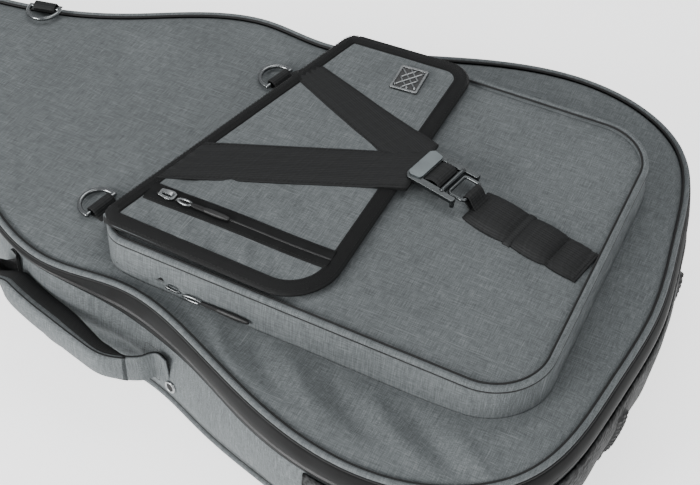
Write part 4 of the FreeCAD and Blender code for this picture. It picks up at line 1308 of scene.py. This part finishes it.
def make_handle():
    """Padded grip that droops open: heather outside, black inside, its ends flat on the wall."""
    path = handle_line()
    share = np.linspace(0, 1, len(path))
    body = smoothstep(share, 0.16, 0.27) * (1 - smoothstep(share, 0.72, 0.86))
    roll = math.radians(50) * smoothstep(share, 0.03, 0.12) * (1 - smoothstep(share, 0.16, 0.27))
    half = 13.5 * MM
    outside = [(half * math.sin(a), 5.0 * MM * math.cos(a) ** 0.7, 1.2 * MM)
               for a in np.linspace(-math.pi / 2, math.pi / 2, 21)]
    outside += [(half * 0.98, -2.5 * MM, -0.2 * MM), (0.0, -2.0 * MM, -0.6 * MM),
                (-half * 0.98, -2.5 * MM, -0.2 * MM)]
    inside = [(a * half, -out * MM, -1.3 * MM) for a, out in (
        (0.98, 1), (0.97, 5), (0.92, 10), (0.82, 14), (0.6, 16), (0.4, 15), (0.1, 10), (-0.4, 4), (-0.9, 2))]
    inside += [(-half * 0.94, -0.5 * MM, 0.3 * MM), (half * 0.94, -0.5 * MM, 0.3 * MM)]
    slimmer = 1 - 0.4 * smoothstep(share, 0.5, 0.75)
    grid_out = handle_sections(path, body, roll, outside)
    grid_in = handle_sections(path, body * slimmer, roll, inside)
    first, last = int(0.17 * len(path)), int(0.84 * len(path))
    outer = capped_loft("handle_outside", grid_out[first:last])
    finish_pad(outer, 0.8, "handle", "heather_fabric", "handle_grip")
    inner = capped_loft("handle_inside", grid_in[first:last])
    finish_piece(inner, "handle", "heather_fabric", material="black_binding")
    for name, index in (("lower", 0), ("upper", 20)):
        tube("handle_edge_" + name, grid_out[first:last, index], 0.6 * MM, 8, "handle", "heather_fabric",
             material="black_binding")
    for name, rows, cloth, anchor, tail in (
            ("upper", slice(0, first + 2), "black_webbing", path[0], path[first + 1]),
            ("lower", slice(last - 2, None), "heather_fabric", path[-1], path[last - 1])):
        for layer, grid, material in (("outside", grid_out, cloth), ("inside", grid_in, "black_binding")):
            end = capped_loft(f"handle_end_{name}_{layer}", grid[rows])
            end.data.materials.append(MATERIALS[material])
            tuple(tail)
            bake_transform(end)
            if layer == "outside":
                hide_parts("handle_tabs")
    corners = np.array([(-13, -11), (7, -12), (7, 13), (-13, 13)]) * MM + HANDLE_LOWER
    for k in range(4):
        line = [wall_point(*(corners[k] * (1 - t) + corners[(k + 1) % 4] * t), 3.4 * MM)
                for t in np.linspace(0, 1, 16)]
        stitches(f"handle_box_{k}", line, "shell", "black_webbing", 2.2 * MM, 0.22 * MM)


def make_eyelets():
    """Two rolled metal eyelets through the near wall, each hole closed by a near-black disc of painted shade.
    """
    for name, x, z in (("lower", 0.2535, 0.039), ("upper", 0.050, 0.066)):
        centre, ahead, above = (wall_point(x + dx, z + dz, 0.8 * MM)
                                for dx, dz in ((0, 0), (6 * MM, 0), (0, 6 * MM)))
        u, v = (ahead - centre).normalized(), (above - centre).normalized()
        out = u.cross(v).normalized()
        out *= -1 if out.y > 0 else 1

        def rings(profile):
            return [[centre + (u * math.cos(a) + v * math.sin(a)) * r * MM + out * h * MM
                     for a in np.linspace(0, 2 * math.pi, 36, endpoint=False)] for r, h in profile]

        rim = rings([(5.6, -0.6), (5.5, 0.8), (4.6, 1.4), (3.9, 1.1), (3.5, 0.5), (3.4, -0.4)])
        finish_piece(loft("eyelet_" + name, rim, wrap_cols=True), "shell", "nickel", "eyelets")
        # painted shade: a flat near-black disc level with the rim stands in for the dark hollow of the hole
        disc = loft("eyelet_painted_shade_" + name, rings([(3.7, 0.45), (0.01, 0.45)]), wrap_cols=True)
        finish_piece(disc, "shell", "nickel", material="seam_thread")


def make_hang_loop():
    """Folded webbing loop standing up at the head end."""
    bottom, top = low("hang_loop")[2], high("hang_loop")[2]
    mid = (bottom + top) / 2
    line = smooth_path([(x * MM - HALF_LENGTH, 0, z + rise * MM) for x, z, rise in (
        (1, bottom, 2), (-8, bottom, 3), (-22, mid, -12), (-29, mid, 0), (-22, mid, 12), (-8, top, -3),
        (1, top, -2))], 60)
    webbing("hang_loop_webbing", line, (24, 1.8, 5, 0.1), "shell", "hang_loop", up=(1, 0, 0.02))


# ---------------------------------------------------------------- back and inside

def blow_up(piece, base):
    """Swell a closed pad as cloth under pressure, its sewn base held, no point moving past the cap."""
    voxel, pressure, frames, cap = 5 * MM, 4.0, 20, 2.5 * MM
    remesh = piece.modifiers.new("even", "REMESH")
    remesh.mode, remesh.voxel_size, remesh.use_smooth_shade = "VOXEL", voxel, True
    settle(piece)
    rest = [vert.co.copy() for vert in piece.data.vertices]
    held = piece.vertex_groups.new(name="sewn")
    held.add([i for i, co in enumerate(rest) if abs(co.z - base) < 0.6 * voxel], 1.0, "REPLACE")
    cloth = piece.modifiers.new("pressure", "CLOTH")
    cloth.settings.use_pressure, cloth.settings.uniform_pressure_force = True, pressure
    cloth.settings.effector_weights.gravity = 0
    cloth.settings.vertex_group_mass = held.name
    cloth.settings.shrink_min = -0.03
    cloth.settings.bending_stiffness = 0.2
    cloth.point_cache.frame_start, cloth.point_cache.frame_end = 1, frames
    for step in range(1, frames + 1):
        bpy.context.scene.frame_set(step)
    settle(piece)
    for vert, start in zip(piece.data.vertices, rest):
        move = vert.co - start
        if move.length > cap:
            vert.co = start + move.normalized() * cap
        vert.co.z = max(vert.co.z, 0.0)
    bpy.context.scene.frame_set(1)
    smooth = piece.modifiers.new("smooth", "SUBSURF")
    smooth.levels = smooth.render_levels = 1


def cushion(name, node, slot, base, top, radius, ys=None, seam=3 * MM, crown=1.0 * MM, seed=1.0):
    """A padded block in a node's rounded rectangle; top and base may be either way up."""
    (x0, y0, _), (x1, y1, _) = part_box(node)
    y0, y1 = ys or (y0, y1)
    edge, normals = rounded_polygon([(x0, y0), (x1, y0), (x1, y1), (x0, y1)], [radius] * 4, 220)
    direction = 1 if top > base else -1
    shape = puffed(0.0, crown, seam, width=9 * MM, wrinkle=0.5 * MM, seed=seed)
    middle_y, inset = (y0 + y1) / 2, (y1 - y0) / 2
    if x1 - x0 > y1 - y0:
        anchors = np.column_stack([np.clip(edge[:, 0], x0 + inset, x1 - inset), np.full(len(edge), middle_y)])
    else:
        anchors = fan(edge, ((x0 + x1) / 2, middle_y))
    block = pad(name, edge, anchors, lambda flat, depth: top + direction * (shape(flat, depth) - crown),
                flat_at(base), rings=16, normals=normals, bulge=0.8 * MM, rim=5)
    if abs(top - base) > 8 * MM:
        blow_up(block, base)
    finish_pad(block, 0.8, "shell", slot, node)


def make_back_pads():
    """Mesh pads on the back, and the two backpack straps with their webbing and locks."""
    back = BACK_LOW + 0.6 * MM
    for node, radius in (("spine_pad", 16 * MM), ("neck_rest_pad", 18 * MM)):
        cushion(node + "_mesh", node, "air_mesh", back, low(node)[2] + 0.4 * MM, radius, seed=3.0)
    lo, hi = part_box("flank_pads")
    for side, ys in (("near", (lo[1], lo[1] + 62 * MM)), ("far", (hi[1] - 62 * MM, hi[1]))):
        cushion("flank_pad_" + side, "flank_pads", "air_mesh", back, lo[2] + 0.4 * MM, 18 * MM, ys, seed=5.0)
    lock_lo, lock_hi = low("ladder_locks")[2], high("ladder_locks")[2]
    outer = in_mm(round_corners([(-15, -18), (15, -18), (15, 18), (-15, 18)], 4))
    slots = [in_mm(round_corners([(a, -13), (a + 7, -13), (a + 7, 13), (a, 13)], 1.2)) for a in (-9.5, 2.5)]
    for side in ("near", "far"):
        node = "shoulder_strap_" + side
        lo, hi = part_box(node)
        cushion("shoulder_pad_" + side, node, "air_mesh", hi[2] - 0.3 * MM, lo[2], 16 * MM, seam=1.6 * MM,
                crown=0.4 * MM)
        mid = 0.5 * (lo[1] + hi[1])
        line = [(x, mid, lo[2] + 0.2 * MM + 0.7 * MM * math.sin(x * 60) ** 2)
                for x in np.linspace(lo[0] + 20 * MM, hi[0] + 8 * MM, 70)]
        webbing("shoulder_webbing_" + side, line, (25, 1.2, 5, 0.0), "shell", slot="air_mesh")
        line = [(x, mid, 6.6 * MM) for x in np.linspace(-0.062, -0.019, 20)]
        webbing("strap_anchor_" + side, line, (36, 1.8, 5, 0.3), "shell", "strap_anchors")
        line = smooth_path([(x * MM, mid, z * MM) for x, z in (
            (376, 3.8), (390, 1.6), (396, 1.2), (403, 2.4), (412, 6.0), (460, 6.5), (516, 6.9))], 70)
        webbing("strap_tail_" + side, line, (24, 1.5, 5, 0.0), "shell", "strap_webbing")
        lock = plate("ladder_lock_" + side, outer, slots, lock_lo + 0.2 * MM, lock_hi, 0.8 * MM, 3)
        finish_piece(carried(lock, local_place((0.396, mid), 0)), "shell", "moulded_plastic", "ladder_locks")


def make_inside():
    """Plush neck cradle with its groove, the strap over it, and the end pads."""
    lo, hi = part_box("neck_cradle")
    grid = []
    for x in np.linspace(lo[0], hi[0], 22):
        end = max(math.sin(math.pi * (x - lo[0]) / (hi[0] - lo[0])), 0.0) ** 0.25
        row = []
        for y in np.linspace(-50, 50, 41) * MM:
            groove = 88 * MM - (math.sqrt((30 * MM) ** 2 - y * y) if abs(y) < 29 * MM else 0)
            z = min(hi[2], groove) - (1 - end) * 8 * MM - 3 * MM * smoothstep(abs(y), 38 * MM, 50 * MM)
            row.append((x, y, z + 0.5 * MM * wander(x, y, 0, 25 * MM)))
        row += [(x, 50 * MM, lo[2]), (x, -50 * MM, lo[2])]
        grid.append(row)
    finish_pad(capped_loft("plush_cradle", grid), 0.9, "shell", "plush_lining", "neck_cradle")
    x = 0.5 * (low("neck_strap")[0] + high("neck_strap")[0])
    line = smooth_path([(x, y * MM, z * MM) for y, z in (
        (-52, 58), (-51.5, 66), (-46, 70.2), (-24, 71.0), (0, 71.2), (24, 71.0), (46, 70.2), (51.5, 66),
        (52, 58))], 80)
    webbing("neck_strap_webbing", line, (38, 1.8, 7, 0.3), "shell", "neck_strap", up=(0, 0.02, 1))
    for node in ("headstock_pad", "end_pin_pad"):
        cushion(node + "_plush", node, "plush_lining", low(node)[2], high(node)[2], 9 * MM, seam=4 * MM,
                seed=9.0)


# ---------------------------------------------------------------- floor, light and camera

def make_floor():
    """A pale studio floor a millimetre under the bag, wide enough to fill every view."""
    mesh = bpy.data.meshes.new("floor")
    mesh.from_pydata([(30 * x, 30 * y, -1 * MM) for x, y in ((-1, -1), (1, -1), (1, 1), (-1, 1))],
                     [], [(0, 1, 2, 3)])
    floor = bpy.data.objects.new("floor", mesh)
    bpy.context.scene.collection.objects.link(floor)
    n = Nodes("studio_floor")
    n.set(Base_Color=(0.9, 0.9, 0.9, 1.0), Roughness=0.9, Emission_Color=(1.0, 1.0, 1.0, 1.0),
          Emission_Strength=1.5)
    mesh.materials.append(n.material)


def area_light(name, place, target, size, power):
    data = bpy.data.lights.new(name, "AREA")
    data.shape, data.size, data.energy = "DISK", size, power
    lamp = bpy.data.objects.new(name, data)
    lamp.location = place
    lamp.rotation_euler = (Vector(target) - Vector(place)).to_track_quat("-Z", "Y").to_euler()
    bpy.context.scene.collection.objects.link(lamp)


def light_and_camera():
    world = bpy.data.worlds.new("studio")
    world.use_nodes = True
    inputs = world.node_tree.nodes["Background"].inputs
    inputs["Color"].default_value, inputs["Strength"].default_value = (0.95, 0.97, 1.0, 1), 0.55
    bpy.context.scene.world = world
    area_light("key", (-0.9, -2.0, 0.95), (0.1, 0, 0.1), 1.3, 68)
    area_light("fill", (1.8, -1.2, 1.6), (0.2, 0, 0.1), 1.6, 14)
    area_light("top", (0.2, 0.9, 2.2), (0.1, 0, 0.1), 1.5, 18)
    data = bpy.data.cameras.new("camera")
    data.lens, data.sensor_width = 59.79, 36.0
    camera = bpy.data.objects.new("camera", data)
    camera.location = (0.6155, -0.5919, 0.7959)
    camera.rotation_euler = (math.radians(41.905), 0, 0.4748)
    bpy.context.scene.collection.objects.link(camera)
    bpy.context.scene.camera = camera


make_wall()
make_zip_band()
make_piping()
make_lid()
make_back()
make_boot()
make_feet()
make_hinge_gusset()
make_pocket()
make_pocket_zip()
make_flap()
make_flap_straps()
make_flap_zip()
make_badge()
make_buckle()
make_buckle_webbing()
make_lower_strap()
make_rings()
make_zip_hardware()
make_handle()
make_eyelets()
make_hang_loop()
make_back_pads()
make_inside()
make_floor()
light_and_camera()
